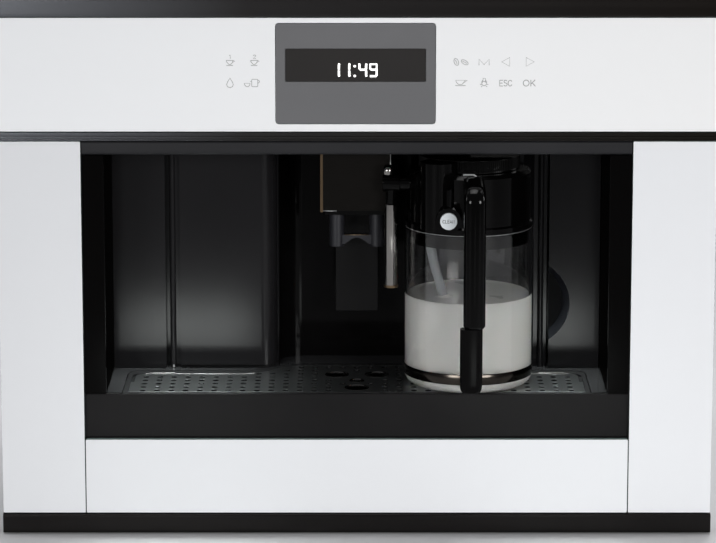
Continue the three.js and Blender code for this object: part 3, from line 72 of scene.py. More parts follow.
# ------------------------------------------------------------------ materials
class Nodes:
    """Short calls for a material's node tree."""

    def __init__(self, name):
        self.material = bpy.data.materials.new(name)
        self.material.use_nodes = True
        self.tree = self.material.node_tree
        self.shader = self.tree.nodes["Principled BSDF"]
        self.coordinates = self.tree.nodes.new("ShaderNodeTexCoord").outputs["Object"]

    def node(self, kind, **inputs):
        made = self.tree.nodes.new("ShaderNode" + kind)
        for key, value in inputs.items():
            self.put(made, key, value)
        return made

    def put(self, target, key, value):
        """Sets or links an input, by its name or as _ and its number."""
        socket = target.inputs[int(key[1:]) if key[:1] == "_" else key.replace("_", " ")]
        if isinstance(value, bpy.types.NodeSocket):
            self.tree.links.new(value, socket)
        else:
            socket.default_value = value

    def shade(self, **inputs):
        for key, value in inputs.items():
            self.put(self.shader, key, value)

    def math(self, operation, a, b=0.0):
        made = self.node("Math", _0=a, _1=b)
        made.operation = operation
        return made.outputs[0]

    def scaled(self, value, factor, offset):
        made = self.node("Math", _0=value, _1=factor, _2=offset)
        made.operation = "MULTIPLY_ADD"
        return made.outputs[0]

    def noise(self, scale, detail=3.0, stretch=(1, 1, 1)):
        mapping = self.node("Mapping", Vector=self.coordinates, Scale=stretch)
        made = self.node("TexNoise", Vector=mapping.outputs[0], Scale=scale, Detail=detail)
        return made.outputs[0]

    def place(self):
        """The x, y and z of the shaded point, in metres."""
        return self.node("SeparateXYZ", Vector=self.coordinates).outputs

    def normal(self):
        geometry = self.node("NewGeometry")
        return self.node("SeparateXYZ", Vector=geometry.outputs["Normal"]).outputs

    def across_front(self, x):
        """0 at the front's left edge and 1 at its right edge."""
        return self.scaled(x, 1000 / FRONT_WIDTH, 0.5)

    def ramp(self, value, *stops):
        made = self.node("ValToRGB", Fac=value)
        elements = made.color_ramp.elements
        while len(elements) < len(stops):
            elements.new(0.5)
        for element, (place, color) in zip(elements, stops):
            element.position = place
            element.color = (*color, 1)
        return made.outputs[0]

    def mix(self, factor, a, b):
        made = self.tree.nodes.new("ShaderNodeMix")
        made.data_type = "RGBA"
        self.put(made, "_0", factor)
        for index, value in ((6, a), (7, b)):
            if not isinstance(value, bpy.types.NodeSocket):
                value = (*value, 1)
            self.put(made, f"_{index}", value)
        return made.outputs[2]

    def bump(self, strength, depth, height):
        relief = self.node("Bump", Strength=strength, Distance=depth, Height=height)
        self.shade(Normal=relief.outputs[0])


def times(color, factor):
    return tuple(min(1, c * factor) for c in color)


def surface(name, color, rough, metal=0.0, vary=0.06, scale=14.0, rough_vary=0.05, grain=0.0,
            coat=0.0, **sockets):
    """A finish whose colour, gloss and relief vary a little over the surface."""
    n = Nodes(name)
    patches = n.noise(scale)
    tone = n.ramp(patches, (0.35, times(color, 1 - vary)), (0.65, times(color, 1 + vary)))
    gloss = n.scaled(patches, rough_vary, rough - rough_vary / 2)
    n.shade(Base_Color=tone, Roughness=gloss, Metallic=metal, Coat_Weight=coat, **sockets)
    if grain:
        n.bump(grain, GRAIN_DEPTH, n.noise(GRAIN_SCALE, 2.0))
    return n.material


def white_glass():
    """White paint behind clear glass, brighter at the control panel, with greenish ground edges; painted
    light makes it brighter from left to right.
    """
    n = Nodes("white_glass")
    face = n.math("GREATER_THAN", n.math("ABSOLUTE", n.normal()[1]), ALONG_AXIS)
    x, _, z = n.place()
    across = n.across_front(x)
    # painted light: both paints grow brighter from the left edge to the right edge
    lower = n.ramp(across, (0.0, (0.79, 0.80, 0.82)), (1.0, (0.90, 0.91, 0.93)))
    upper = n.ramp(across, (0.0, (0.93, 0.94, 0.955)), (1.0, (0.99, 0.99, 0.99)))
    paint_and_painted_light = n.mix(n.math("GREATER_THAN", z, CONTROL_FROM / 1000), lower, upper)
    gloss = n.scaled(n.noise(30.0), 0.03, 0.05)
    n.shade(Base_Color=n.mix(face, (0.40, 0.52, 0.50), paint_and_painted_light), Roughness=gloss, Coat_Weight=0.5)
    return n.material


def brushed(name, color, rough, along, strength=0.25):
    """Metal with fine brushing lines; the largest factor lies across the lines."""
    n = Nodes(name)
    lines = n.noise(60.0, 4.0, along)
    tone = n.ramp(lines, (0.3, times(color, 0.88)), (0.7, times(color, 1.08)))
    n.shade(Base_Color=tone, Roughness=n.scaled(lines, 0.14, rough - 0.07), Metallic=1.0)
    n.bump(strength, 0.0001, lines)
    return n.material


def zinc():
    """Galvanised sheet with its soft spangle."""
    n = Nodes("zinc_sheet")
    cells = n.node("TexVoronoi", Vector=n.coordinates, Scale=110.0).outputs[0]
    cloud = n.mix(n.noise(9.0), (0.5, 0.515, 0.53), (0.66, 0.67, 0.68))
    tone = n.mix(cells, cloud, (0.6, 0.61, 0.62))
    n.shade(Base_Color=tone, Roughness=n.scaled(cells, 0.12, 0.36), Metallic=0.9)
    return n.material


def clear(name, color, rough=0.0, transmission=1.0, **sockets):
    """Glass or plastic that light goes through."""
    n = Nodes(name)
    n.shade(Base_Color=(*color, 1), Roughness=n.scaled(n.noise(25.0), 0.02, rough),
            Transmission_Weight=transmission, **sockets)
    return n.material


def glowing(name, color, strength):
    """A lit surface, almost even."""
    n = Nodes(name)
    glow = n.ramp(n.noise(200.0), (0.3, times(color, 0.96)), (0.7, color))
    n.shade(Base_Color=(*color, 1), Emission_Color=glow, Emission_Strength=strength)
    return n.material


def liner():
    """Grained black plastic, polished where the back wall recedes behind the spout, and lighter on faces
    that look up, as painted light from above.
    """
    n = Nodes("liner_black")
    aside = n.math("ABSOLUTE", n.place()[0])
    grained = n.math("GREATER_THAN", aside, RECESS_HALF / 1000)
    strip = n.math("GREATER_THAN", aside, STRIPS_FROM / 1000)
    # painted light: faces that look up are lighter
    painted_top_light = n.math("GREATER_THAN", n.normal()[2], ALONG_AXIS)
    tone = n.ramp(n.noise(9.0), (0.35, (0.0088, 0.0085, 0.0092)), (0.65, (0.0108, 0.0104, 0.0112)))
    tone = n.mix(grained, (0.0026, 0.0024, 0.0025), tone)
    tone = n.mix(painted_top_light, tone, (0.045, 0.045, 0.047))
    tone = n.mix(strip, tone, (0.0022, 0.0020, 0.0020))
    mirror = n.math("SUBTRACT", n.scaled(grained, 0.13, 0.07), n.math("MULTIPLY", strip, 0.17))
    n.shade(Base_Color=tone, Roughness=n.scaled(grained, 0.05, 0.1), Specular_IOR_Level=mirror)
    n.bump(n.math("MULTIPLY", grained, 0.07), GRAIN_DEPTH, n.noise(1700.0, 2.0))
    return n.material


def trim():
    """Dark polished metal; the upper trim is paler towards its left end, as a painted reflection."""
    n = Nodes("dark_trim")
    x, _, z = n.place()
    # painted reflection: the upper trim is pale at its left end and darkens to the right
    tone = n.ramp(n.across_front(x), (0.0, (0.25, 0.26, 0.285)), (0.35, (0.06, 0.057, 0.057)),
                  (1.0, (0.02, 0.016, 0.013)))
    tone = n.mix(n.math("LESS_THAN", z, LOW_TRIM_TO / 1000), tone, (0.016, 0.0145, 0.014))
    streaks = n.noise(40.0, 3.0, (0.05, 1, 8))
    tone = n.mix(n.math("MULTIPLY", streaks, 0.3), tone, (0.03, 0.028, 0.027))
    n.shade(Base_Color=tone, Roughness=n.scaled(streaks, 0.1, 0.2), Metallic=0.9)
    return n.material


FINISH = {
    "white_glass": white_glass(),
    "dark_trim": trim(),
    "grey_glass": surface("grey_glass", (0.155, 0.155, 0.16), 0.3, vary=0.03,
                          Specular_IOR_Level=0.3),
    "screen_glass": surface("screen_glass", (0.034, 0.032, 0.031), 0.12, vary=0.05,
                            Specular_IOR_Level=0.2),
    "satin_black": surface("satin_black", (0.0085, 0.008, 0.0083), 0.36, vary=0.12, grain=0.12,
                           Specular_IOR_Level=0.12),
    "gloss_black": surface("gloss_black", (0.0012, 0.0011, 0.0011), 0.1, vary=0.2,
                           rough_vary=0.03, Specular_IOR_Level=0.16),
    "liner_black": liner(),
    "brushed_dark": brushed("brushed_dark", (0.013, 0.012, 0.011), 0.34, (1, 1, 80)),
    "satin_grey": surface("satin_grey", (0.02, 0.02, 0.024), 0.32, 0.3, grain=0.1),
    "chrome": surface("chrome", (0.34, 0.325, 0.31), 0.1, 1.0, vary=0.04, rough_vary=0.04),
    "grid_steel": brushed("grid_steel", (0.34, 0.35, 0.355), 0.36, (1, 40, 40), strength=0.08),
    "clear_glass": clear("clear_glass", (1.0, 1.0, 1.0), IOR=1.47),
    "zinc_sheet": zinc(),
    "grey_plastic": surface("grey_plastic", (0.12, 0.125, 0.13), 0.5, grain=0.25),
    "smoked_plastic": clear("smoked_plastic", (0.32, 0.32, 0.34), 0.12, IOR=1.5),
    "tube_plastic": surface("tube_plastic", (0.62, 0.62, 0.6), 0.3, vary=0.03,
                            Subsurface_Weight=0.2, Subsurface_Scale=0.004),
}
INK = surface("grey_ink", (0.30, 0.30, 0.295), 0.5, vary=0.04, scale=60)
DIGITS = glowing("digit_light", (0.95, 0.95, 0.93), 1.1)
MILK = surface("milk", (0.95, 0.945, 0.90), 0.28, vary=0.01, Subsurface_Weight=0.1,
               Subsurface_Radius=(0.02, 0.016, 0.012), Subsurface_Scale=0.4, coat=0.2)
CLOUDED = clear("clouded_tube", (0.66, 0.69, 0.72), 0.2, transmission=0.6, IOR=1.2)
# painted highlight: thin bright pieces on edges where light catches
PAINTED_EDGE_HIGHLIGHT = surface("painted_edge_highlight", (0.55, 0.56, 0.56), 0.3, 0.6, vary=0.08)
# painted highlight: the grid's beads are near white
BEAD_HIGHLIGHT = surface("bead_painted_highlight", (0.9, 0.9, 0.89), 0.3, 0.2, vary=0.08)
# painted warm reflection: bronze-coloured strips on the spouts' metal edges
WARM_REFLECTION = surface("painted_warm_reflection", (0.20, 0.14, 0.085), 0.3, 0.9, vary=0.1)
# steel band whose dark, warm tone is a painted reflection of dark, warm surroundings
RING = surface("steel_ring_painted_reflection", (0.05, 0.044, 0.038), 0.18, 1.0, vary=0.25, scale=26)
# painted shade: the grid's hole walls and rounded edges are darkened
PUNCHED_SHADE = surface("punched_edge_painted_shade", (0.02, 0.02, 0.02), 0.4, 0.8, vary=0.2)
# painted light: the grip's wall is lighter than the tank front around it
GRIP_WALL_PAINTED_LIGHT = surface("grip_wall", (0.030, 0.032, 0.038), 0.35, vary=0.08)
CALM_BLACK = surface("calm_black", (0.0035, 0.0033, 0.0034), 0.2, vary=0.15,
                     Specular_IOR_Level=0.05)
# dark ink for print, and painted shade in the screw slots and the tank grip's floor
INK_AND_PAINTED_SHADE = surface("dark_ink_and_painted_shade", (0.004, 0.004, 0.0045), 0.5, vary=0.1, Specular_IOR_Level=0.1)
RUBBER = surface("seal_rubber", (0.012, 0.012, 0.012), 0.6, vary=0.1, grain=0.2)


# ------------------------------------------------------------------ making pieces
def soften(obj, width):
    """Rounds the edges that are sharper than 30 degrees."""
    bevel = obj.modifiers.new("edge", "BEVEL")
    bevel.width = width / 1000
    bevel.segments = 2
    bevel.limit_method = "ANGLE"
    bevel.angle_limit = math.radians(30)
    bevel.harden_normals = False
    normals = obj.modifiers.new("normals", "WEIGHTED_NORMAL")
    normals.keep_sharp = True


def piece(name, bm, body, slot, material=None, bevel=0.0, smooth=True):
    """Turns the mesh into a piece that rides on a body; it has its slot's finish or its own."""
    bmesh.ops.recalc_face_normals(bm, faces=bm.faces)
    for edge in bm.edges:
        edge.smooth = edge.calc_face_angle(0) < CORNER
    mesh = bpy.data.meshes.new(name)
    bm.to_mesh(mesh)
    bm.free()
    mesh.materials.append(material or FINISH[slot])
    mesh.polygons.foreach_set("use_smooth", [smooth] * len(mesh.polygons))
    obj = bpy.data.objects.new(name, mesh)
    bpy.context.scene.collection.objects.link(obj)
    if bevel:
        soften(obj, bevel)
    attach(obj, body)
    return obj


def block(bm, x0, x1, y0, y1, z0, z1):
    middle = at((x0 + x1) / 2, (y0 + y1) / 2, (z0 + z1) / 2)
    size = Matrix.Diagonal(((x1 - x0) / 1000, (y1 - y0) / 1000, (z1 - z0) / 1000, 1))
    bmesh.ops.create_cube(bm, size=1, matrix=Matrix.Translation(middle) @ size)


def boxes(*sizes):
    bm = bmesh.new()
    for size in sizes:
        block(bm, *size)
    return bm


def circle(x, y, r, steps=24):
    return [(x + r * math.cos(2 * math.pi * i / steps), y + r * math.sin(2 * math.pi * i / steps))
            for i in range(steps)]


def arc(x, y, r, start, end, steps=10):
    """Points from one angle to another, in degrees."""
    angles = [math.radians(start + (end - start) * i / steps) for i in range(steps + 1)]
    return [(x + r * math.cos(a), y + r * math.sin(a)) for a in angles]


def ellipse(x, y, wide, high, tilt, steps=16):
    """A closed ellipse that is turned by an angle in degrees."""
    c, s = math.cos(math.radians(tilt)), math.sin(math.radians(tilt))
    points = []
    for i in range(steps + 1):
        t = 2 * math.pi * (i % steps) / steps
        u, v = wide * math.cos(t), high * math.sin(t)
        points.append((x + u * c - v * s, y + u * s + v * c))
    return points


def rounded(x0, x1, z0, z1, r, steps=6):
    """A rectangle with round corners."""
    corners = ((x1 - r, z0 + r, -90), (x1 - r, z1 - r, 0), (x0 + r, z1 - r, 90), (x0 + r, z0 + r, 180))
    return [point for x, z, start in corners for point in arc(x, z, r, start, start + 90, steps)]


def smooth_path(points, steps=8):
    """Points along a Catmull-Rom curve through the given ones."""
    ends = [points[0], *points, points[-1]]
    out = []
    for a, b, c, d in zip(ends, ends[1:], ends[2:], ends[3:]):
        for i in range(steps):
            t = i / steps
            out.append(tuple(0.5 * (2 * q + (r - p) * t + (2 * p - 5 * q + 4 * r - s) * t * t
                                    + (3 * q - p - 3 * r + s) * t ** 3)
                             for p, q, r, s in zip(a, b, c, d)))
    out.append(points[-1])
    return out


def push(bm, face, way, keep=False):
    """Extrudes a face by metres and returns the moved one; with keep, the first stays as an end."""
    made = bmesh.ops.extrude_face_region(bm, geom=[face], use_keep_orig=keep)["geom"]
    if not keep and face.is_valid:
        bmesh.ops.delete(bm, geom=[face], context="FACES_ONLY")
    verts = [v for v in made if isinstance(v, bmesh.types.BMVert)]
    bmesh.ops.translate(bm, verts=verts, vec=way)
    return next(f for f in made if isinstance(f, bmesh.types.BMFace))


def tapered(bm, face, way, x=1.0, y=1.0):
    """Pushes a face on and scales it about its own middle."""
    face = push(bm, face, Vector(way) / 1000)
    bmesh.ops.scale(bm, verts=face.verts[:], vec=(x, y, 1),
                    space=Matrix.Translation(-face.calc_center_median()))
    return face


def prism(bm, points, y_front, y_back):
    """An outline in x and z, pushed from front to back."""
    face = bm.faces.new([bm.verts.new(at(x, y_front, z)) for x, z in points])
    push(bm, face, at(0, y_back, 0) - at(0, y_front, 0), keep=True)


def slice_off(bm, place, outward):
    """Cuts off what lies beyond a plane and closes the cut."""
    cut = bmesh.ops.bisect_plane(bm, geom=bm.verts[:] + bm.edges[:] + bm.faces[:], plane_co=place,
                                 plane_no=outward, clear_outer=True)
    rim = [e for e in cut["geom_cut"] if isinstance(e, bmesh.types.BMEdge) and e.is_boundary]
    bmesh.ops.edgeloop_fill(bm, edges=rim)


AXES = {"x": Vector((1, 0, 0)), "y": Vector((0, 1, 0)), "z": Vector((0, 0, 1))}
SAME_POINT = 2e-6


def lathe(profile, centre, steps=96, axis="z", closed=False, bm=None):
    """A profile of (radius, height) spun about a line through centre."""
    bm = bm or bmesh.new()
    a, b = centre

    def place(r, h):
        return at(*{"z": (a + r, b, h), "y": (a + r, h, b), "x": (h, a + r, b)}[axis])

    verts = [bm.verts.new(place(r, h)) for r, h in profile]
    pairs = list(zip(verts, verts[1:])) + ([(verts[-1], verts[0])] if closed else [])
    edges = [bm.edges.new(pair) for pair in pairs]
    bmesh.ops.spin(bm, geom=verts + edges, cent=place(0, 0), axis=AXES[axis], dvec=(0, 0, 0),
                   angle=2 * math.pi, steps=steps, use_merge=True)
    bmesh.ops.remove_doubles(bm, verts=bm.verts, dist=SAME_POINT)
    return bm


def from_curve(bm, curve):
    """Adds a curve's surface to the mesh and drops the curve."""
    source = bpy.data.objects.new("run", curve)
    bpy.context.scene.collection.objects.link(source)
    graph = bpy.context.evaluated_depsgraph_get()
    mesh = bpy.data.meshes.new_from_object(source.evaluated_get(graph))
    bm.from_mesh(mesh)
    bmesh.ops.remove_doubles(bm, verts=bm.verts, dist=SAME_POINT)
    bpy.data.objects.remove(source)
    bpy.data.curves.remove(curve)
    bpy.data.meshes.remove(mesh)
    return bm


def add_run(curve, points, closed):
    spline = curve.splines.new("POLY")
    spline.points.add(len(points) - 1)
    for point, place in zip(spline.points, points):
        point.co = (*place, 1)
    spline.use_cyclic_u = closed


def rods(runs, radius, sides=8, bm=None):
    """Round rods through points; a run whose ends meet becomes a ring."""
    curve = bpy.data.curves.new("run", "CURVE")
    curve.dimensions = "3D"
    curve.bevel_depth = radius / 1000
    curve.bevel_resolution = (sides - 4) // 2
    curve.use_fill_caps = True
    for points in runs:
        closed = len(points) > 2 and math.dist(points[0], points[-1]) < 1e-6
        add_run(curve, [at(*p) for p in (points[:-1] if closed else points)], closed)
    return from_curve(bm or bmesh.new(), curve)


def plate_with_holes(outline, holes, z_low, z_high, edge):
    """A flat sheet with holes and softly rounded edges."""
    curve = bpy.data.curves.new("sheet", "CURVE")
    curve.dimensions = "2D"
    curve.fill_mode = "BOTH"
    curve.extrude = ((z_high - z_low) / 2 - edge) / 1000
    curve.bevel_depth = edge / 1000
    curve.bevel_resolution = 1
    curve.offset = -edge / 1000
    for points in [outline, *holes]:
        add_run(curve, [(*at(x, y, 0).xy, 0) for x, y in points], True)
    bm = from_curve(bmesh.new(), curve)
    bmesh.ops.translate(bm, verts=bm.verts, vec=(0, 0, (z_high + z_low) / 2000))
    return bm


# ------------------------------------------------------------------ print on the flat front
PICTURE_MIDDLE, PICTURE_FLOOR = 357, 540  # x = 0 and z = 0 in the front picture
PICTURE_SCALE = 1.2  # its points per millimetre
INK_PROUD = 0.04  # how far the ink stands off its face


def picture_point(px, py):
    return (px - PICTURE_MIDDLE) / PICTURE_SCALE, (PICTURE_FLOOR - py) / PICTURE_SCALE


def printed(name, strokes, width, slot, material, body="machine", face=0.0):
    """Strokes given by points of the front picture, as thin ink on a face."""
    runs = [[(x, face, z) for x, z in (picture_point(*p) for p in stroke)] for stroke in strokes]
    bm = rods(runs, width / 2)
    bmesh.ops.scale(bm, verts=bm.verts, vec=(1, INK_PROUD * 2 / width, 1),
                    space=Matrix.Translation(-at(0, face, 0)))
    piece(name, bm, body, slot, material, smooth=False)


# ------------------------------------------------------------------ the CAD nodes' finishes
SLOT_OF = {entry["node"]: entry["material_slot"] for entry in frame["record"]["subparts"]}
SOFT_EDGE = {"left_glass": 0.5, "right_glass": 0.5, "lower_glass": 0.5, "control_glass": 0.5,
             "top_trim": 0.4, "bottom_trim": 0.4, "tray_bar": 0.2, "display_module": 0.25,
             "divider_strip": 0.3, "niche_rail": 0.4, "service_door": 0.6, "tank_front": 0.4,
             "spout_housing": 0.8, "spout_plate": 0.5, "spout_guide": 0.6, "milk_elbow": 0.4,
             "grind_knob": 0.5, "main_switch": 0.4, "mains_inlet": 0.4, "bean_lid": 0.4,
             "cup_light": 0.3}
OWN_FINISH = {
    "niche_rail": surface("rail_paint", (0.019, 0.019, 0.021), 0.4, vary=0.08, grain=0.1,
                          Specular_IOR_Level=0.2),
    "tray_basin": surface("tray_plastic", (0.021, 0.021, 0.022), 0.45, vary=0.08, grain=0.2),
    "spout_guide": surface("guide_plastic", (0.003, 0.0028, 0.003), 0.3, vary=0.1,
                           Specular_IOR_Level=0.15),
    "clean_button": surface("button_metal", (0.72, 0.76, 0.78), 0.38, 0.45, vary=0.05, scale=60)}
for name, node in NODES.items():
    node.data.materials.clear()
    node.data.materials.append(OWN_FINISH.get(name, FINISH[SLOT_OF[name]]))
    node.data.polygons.foreach_set("use_smooth", [True] * len(node.data.polygons))
    weld = node.modifiers.new("weld", "WELD")
    weld.merge_threshold = SAME_POINT
    if name in SOFT_EDGE:
        soften(node, SOFT_EDGE[name])
    else:
        split = node.modifiers.new("corners", "EDGE_SPLIT")
        split.split_angle = CORNER
        split.use_edge_sharp = False


# ------------------------------------------------------------------ drip grid
GRID_HALF, GRID_FRONT, GRID_REAR = 192.0, 11.4, 77.0
NOSE_REAR, NOSE_HALF, SHOULDER = 107.5, 46.0, 98.0  # the nose narrows from SHOULDER to NOSE_HALF
WIDE_TO, STEP_IN = 47, 2.8  # from this y on, the sheet is narrower by STEP_IN at each side
PITCH, FIRST_ROW = 12.0, 16.7
DRAINS = ((-17, 74, 10), (17, 74, 10), (0, 27, 10), (0, 52, 6))  # x, y and radius
BEADS = ((88, 181, 0.9), (156, 178, -3.2))  # from x to x, and how far before the rear edge


def rear_line(x):
    """The grid's rear edge, which swings back to the nose in its middle."""
    t = (SHOULDER - abs(x)) / (SHOULDER - NOSE_HALF)
    t = min(max(t, 0), 1)
    return GRID_REAR + (NOSE_REAR - GRID_REAR) * t * t * (3 - 2 * t)


def grid_outline():
    corner, steps = 8.0, 24
    left = [(-GRID_HALF, GRID_FRONT), (-GRID_HALF, WIDE_TO), (-GRID_HALF + STEP_IN, WIDE_TO)]
    left += arc(STEP_IN + corner - GRID_HALF, GRID_REAR - corner, corner, 180, 90, 8)
    swing = [-SHOULDER + (SHOULDER - NOSE_HALF) * i / steps for i in range(steps + 1)]
    left += [(x, rear_line(x)) for x in swing]
    return left + [(-x, y) for x, y in reversed(left)]


def small_holes():
    """Rows of holes that leave the edges and the drains free."""
    rim, clear_of_drain = 5, 8
    columns = int((GRID_HALF - STEP_IN - rim) // PITCH)
    for i in range(-columns, columns + 1):
        x, y = i * PITCH, FIRST_ROW
        while y < rear_line(x) - rim:
            if all(math.hypot(x - a, y - b) >= r + clear_of_drain for a, b, r in DRAINS):
                yield x, y
            y += PITCH


def dress_grid():
    holes = [circle(x, y, 2.5, 16) for x, y in small_holes()]
    holes += [circle(x, y, r, 48) for x, y, r in DRAINS]
    bm = plate_with_holes(grid_outline(), holes, SILL - 1.5, SILL, 0.35)
    bmesh.ops.recalc_face_normals(bm, faces=bm.faces)
    # faces that do not look up or down get the darkened edge finish, as painted shade
    for face in bm.faces:
        face.material_index = int(abs(face.normal.z) < 0.8)
    sheet = piece("grid_sheet", bm, "drip_tray", "grid_steel", smooth=False)
    sheet.data.materials.append(PUNCHED_SHADE)
    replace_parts(sheet, "drip_grid")
    # beads along the rear edge, coloured near white as a painted highlight
    beads = []
    for near, far, inset in BEADS:
        across = [near + (far - near) * i / 12 for i in range(13)]
        beads += [[(side * x, rear_line(x) - inset, SILL - 0.35) for x in across] for side in (1, -1)]
    piece("grid_beads", rods(beads, 0.5), "drip_tray", "chrome", BEAD_HIGHLIGHT)
    rims = [[(*p, SILL - 0.3) for p in [*circle(x, y, r, 48), (x + r, y)]] for x, y, r in DRAINS]
    piece("drain_rims", rods(rims, 0.55), "drip_tray", "chrome")


dress_grid()


# ------------------------------------------------------------------ milk carafe
JUG_RADIUS, JUG_TOP, WALL = 53.8, 255.0, 2.2
JUG_FOOT = SILL + 0.3
INNER = JUG_RADIUS - WALL
INNER_FLOOR = JUG_FOOT + WALL
KNOB_RADIUS, KNOB_HEIGHT, NOTCH = 43.0, 11.0, 1.1


def dress_glass():
    """The jug, the milk in it and the steel band round its foot."""
    foot = arc(JUG_RADIUS - 8, JUG_FOOT + 8, 8, -90, 0, 9)
    hollow = arc(INNER - 7, INNER_FLOOR + 7, 7, 0, -90, 9)
    jug = [(0, JUG_FOOT), *foot, (JUG_RADIUS, JUG_TOP - 0.8), (JUG_RADIUS - 0.6, JUG_TOP),
           (INNER + 0.6, JUG_TOP), (INNER, JUG_TOP - 0.8), *hollow, (0, INNER_FLOOR)]
    glass = piece("carafe_jug", lathe(jug, CARAFE, 128), "carafe", "clear_glass")
    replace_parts(glass, "carafe_glass")
    wetting = 0.1  # the milk reaches into the glass, so no air shows between them
    body = [(max(r + wetting, 0), z - wetting * 0.5) for r, z in reversed(hollow)]
    milk = [(0, INNER_FLOOR - 0.1), *body, (INNER + wetting, MILK_LEVEL + 1.2),
            (INNER - 1.6, MILK_LEVEL + 0.2), (INNER - 4, MILK_LEVEL), (0, MILK_LEVEL)]
    piece("milk", lathe(milk, CARAFE, 128), "carafe", "tube_plastic", MILK)
    band = [(54.1, 128.9), (54.5, 128.6), (54.7, 128.9), (54.7, 137.3), (54.5, 137.6), (54.1, 137.3)]
    ring = piece("carafe_ring", lathe(band, CARAFE, 128, closed=True), "carafe", "chrome", RING)
    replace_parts(ring, "carafe_band")


def dress_knob():
    """The froth knob, with a notch at every second corner of its rim."""
    knob = bmesh.new()
    middle = at(*CARAFE, 305.3)
    rim = bmesh.ops.create_circle(knob, cap_ends=True, radius=KNOB_RADIUS / 1000, segments=264,
                                  matrix=Matrix.Translation(middle))["verts"]
    for vert in rim[::2]:
        vert.co += (middle - vert.co).normalized() * NOTCH / 1000
    push(knob, knob.faces[:][0], Vector((0, 0, KNOB_HEIGHT / 1000)), keep=True)
    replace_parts(piece("knurled_knob", knob, "froth_knob", "gloss_black", bevel=0.5), "froth_knob")


def dress_intake():
    """The tube that draws the milk, with the milk's rise round it, and a painted highlight along the
    mouth.
    """
    path = smooth_path([(62, 35, 242), (66, 37, 222), (78, 42, 180), (92, 50, 134)])
    tube = piece("intake_tube", rods([path], 4, 20), "carafe", "tube_plastic", CLOUDED)
    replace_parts(tube, "milk_intake")
    piece("intake_core", rods([path], 1.3, 12), "carafe", "tube_plastic")
    collar = [(0, MILK_LEVEL + 2.2), (4.4, MILK_LEVEL + 2), (5.4, MILK_LEVEL + 0.8), (8, MILK_LEVEL),
              (8, MILK_LEVEL - 0.4), (0, MILK_LEVEL - 0.4)]
    piece("milk_collar", lathe(collar, (73.8, 40.4), 32), "carafe", "tube_plastic", MILK)
    # painted highlight: a bright ring along the jug's mouth
    mouth = [(*p, JUG_TOP + 0.2) for p in circle(*CARAFE, 53.3, 128)]
    piece("mouth_highlight", rods([[*mouth, mouth[0]]], 0.35), "carafe", "clear_glass", PAINTED_EDGE_HIGHLIGHT)


# ------------------------------------------------------------------ lever of the lid
SLEEVE_X, GRIP_X, LEVER_Y = 96.6, 94.2, -31
SLEEVE_FROM, GRIP_TOP = 184, 183.7
BEND_Y, BEND_Z = LEVER_Y + 7.2, 288.3
BEND_STEPS, BEND_STEP = 9, 10  # degrees
FACET, FACET_AWAY = Vector((0, -0.66, 0.75)).normalized(), 13.5  # its normal, and from the bend
FIRST_STEP = Vector((0, 0, 0.1)) / 1000  # a short first step, after which the section can widen


def bar_section(bm, x, z, width, depth, r):
    corners = rounded(x - width / 2, x + width / 2, LEVER_Y - depth / 2, LEVER_Y + depth / 2, r, 5)
    return bm.faces.new([bm.verts.new(at(a, b, z)) for a, b in corners])


def dress_sleeve():
    """A rounded bar bent back to the lid, with a thumb facet at its bend."""
    sleeve = bmesh.new()
    face = bar_section(sleeve, SLEEVE_X, SLEEVE_FROM, 15.6, 11.2, 5.4)
    face = push(sleeve, face, FIRST_STEP, keep=True)
    face = tapered(sleeve, face, (0, 0, 1.9), 1.17, 1.24)
    face = tapered(sleeve, face, (0, 0, 102.3))
    bend = at(SLEEVE_X, BEND_Y, BEND_Z)
    turn = Matrix.Rotation(-math.radians(BEND_STEP), 3, "X")
    for _ in range(BEND_STEPS):
        face = push(sleeve, face, Vector((0, 0, 0)))
        bmesh.ops.rotate(sleeve, verts=face.verts[:], cent=bend, matrix=turn)
    push(sleeve, face, Vector((0, 24, 3)) / 1000)
    slice_off(sleeve, bend + FACET * FACET_AWAY / 1000, FACET)
    bar = piece("lever_sleeve", sleeve, "carafe", "satin_black", FINISH["gloss_black"])
    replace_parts(bar, "handle_sleeve")
    # painted highlight: a bright rod along the arm's top edge where it meets the lid
    line = rods([[(87.8, 1, 306.6), (96.4, 1, 306.6), (99.4, 1, 304.6)]], 0.7)
    piece("lever_highlight", line, "carafe", "satin_black", PAINTED_EDGE_HIGHLIGHT)


def dress_lever_grip():
    """The thicker grip at the lever's lower end, rounded off at its foot."""
    grip = bmesh.new()
    face = bar_section(grip, GRIP_X, GRIP_TOP, 18.6, 12.4, 5.6)
    face = push(grip, face, -FIRST_STEP, keep=True)
    face = tapered(grip, face, (0, 0, -46.4))
    for drop, narrow in ((3, 0.975), (2.4, 0.94), (1.6, 0.88), (1.0, 0.8), (0.5, 0.6)):
        face = tapered(grip, face, (0, 0, -drop), narrow, narrow)
    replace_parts(piece("lever_grip", grip, "carafe", "gloss_black", CALM_BLACK), "handle_grip")


dress_glass()
dress_knob()
dress_intake()
dress_sleeve()
dress_lever_grip()


# ------------------------------------------------------------------ coffee spout, milk spout, button
OUTLET_X, OUTLET_Y = 17, 74
BUTTON_FACE = -13.4


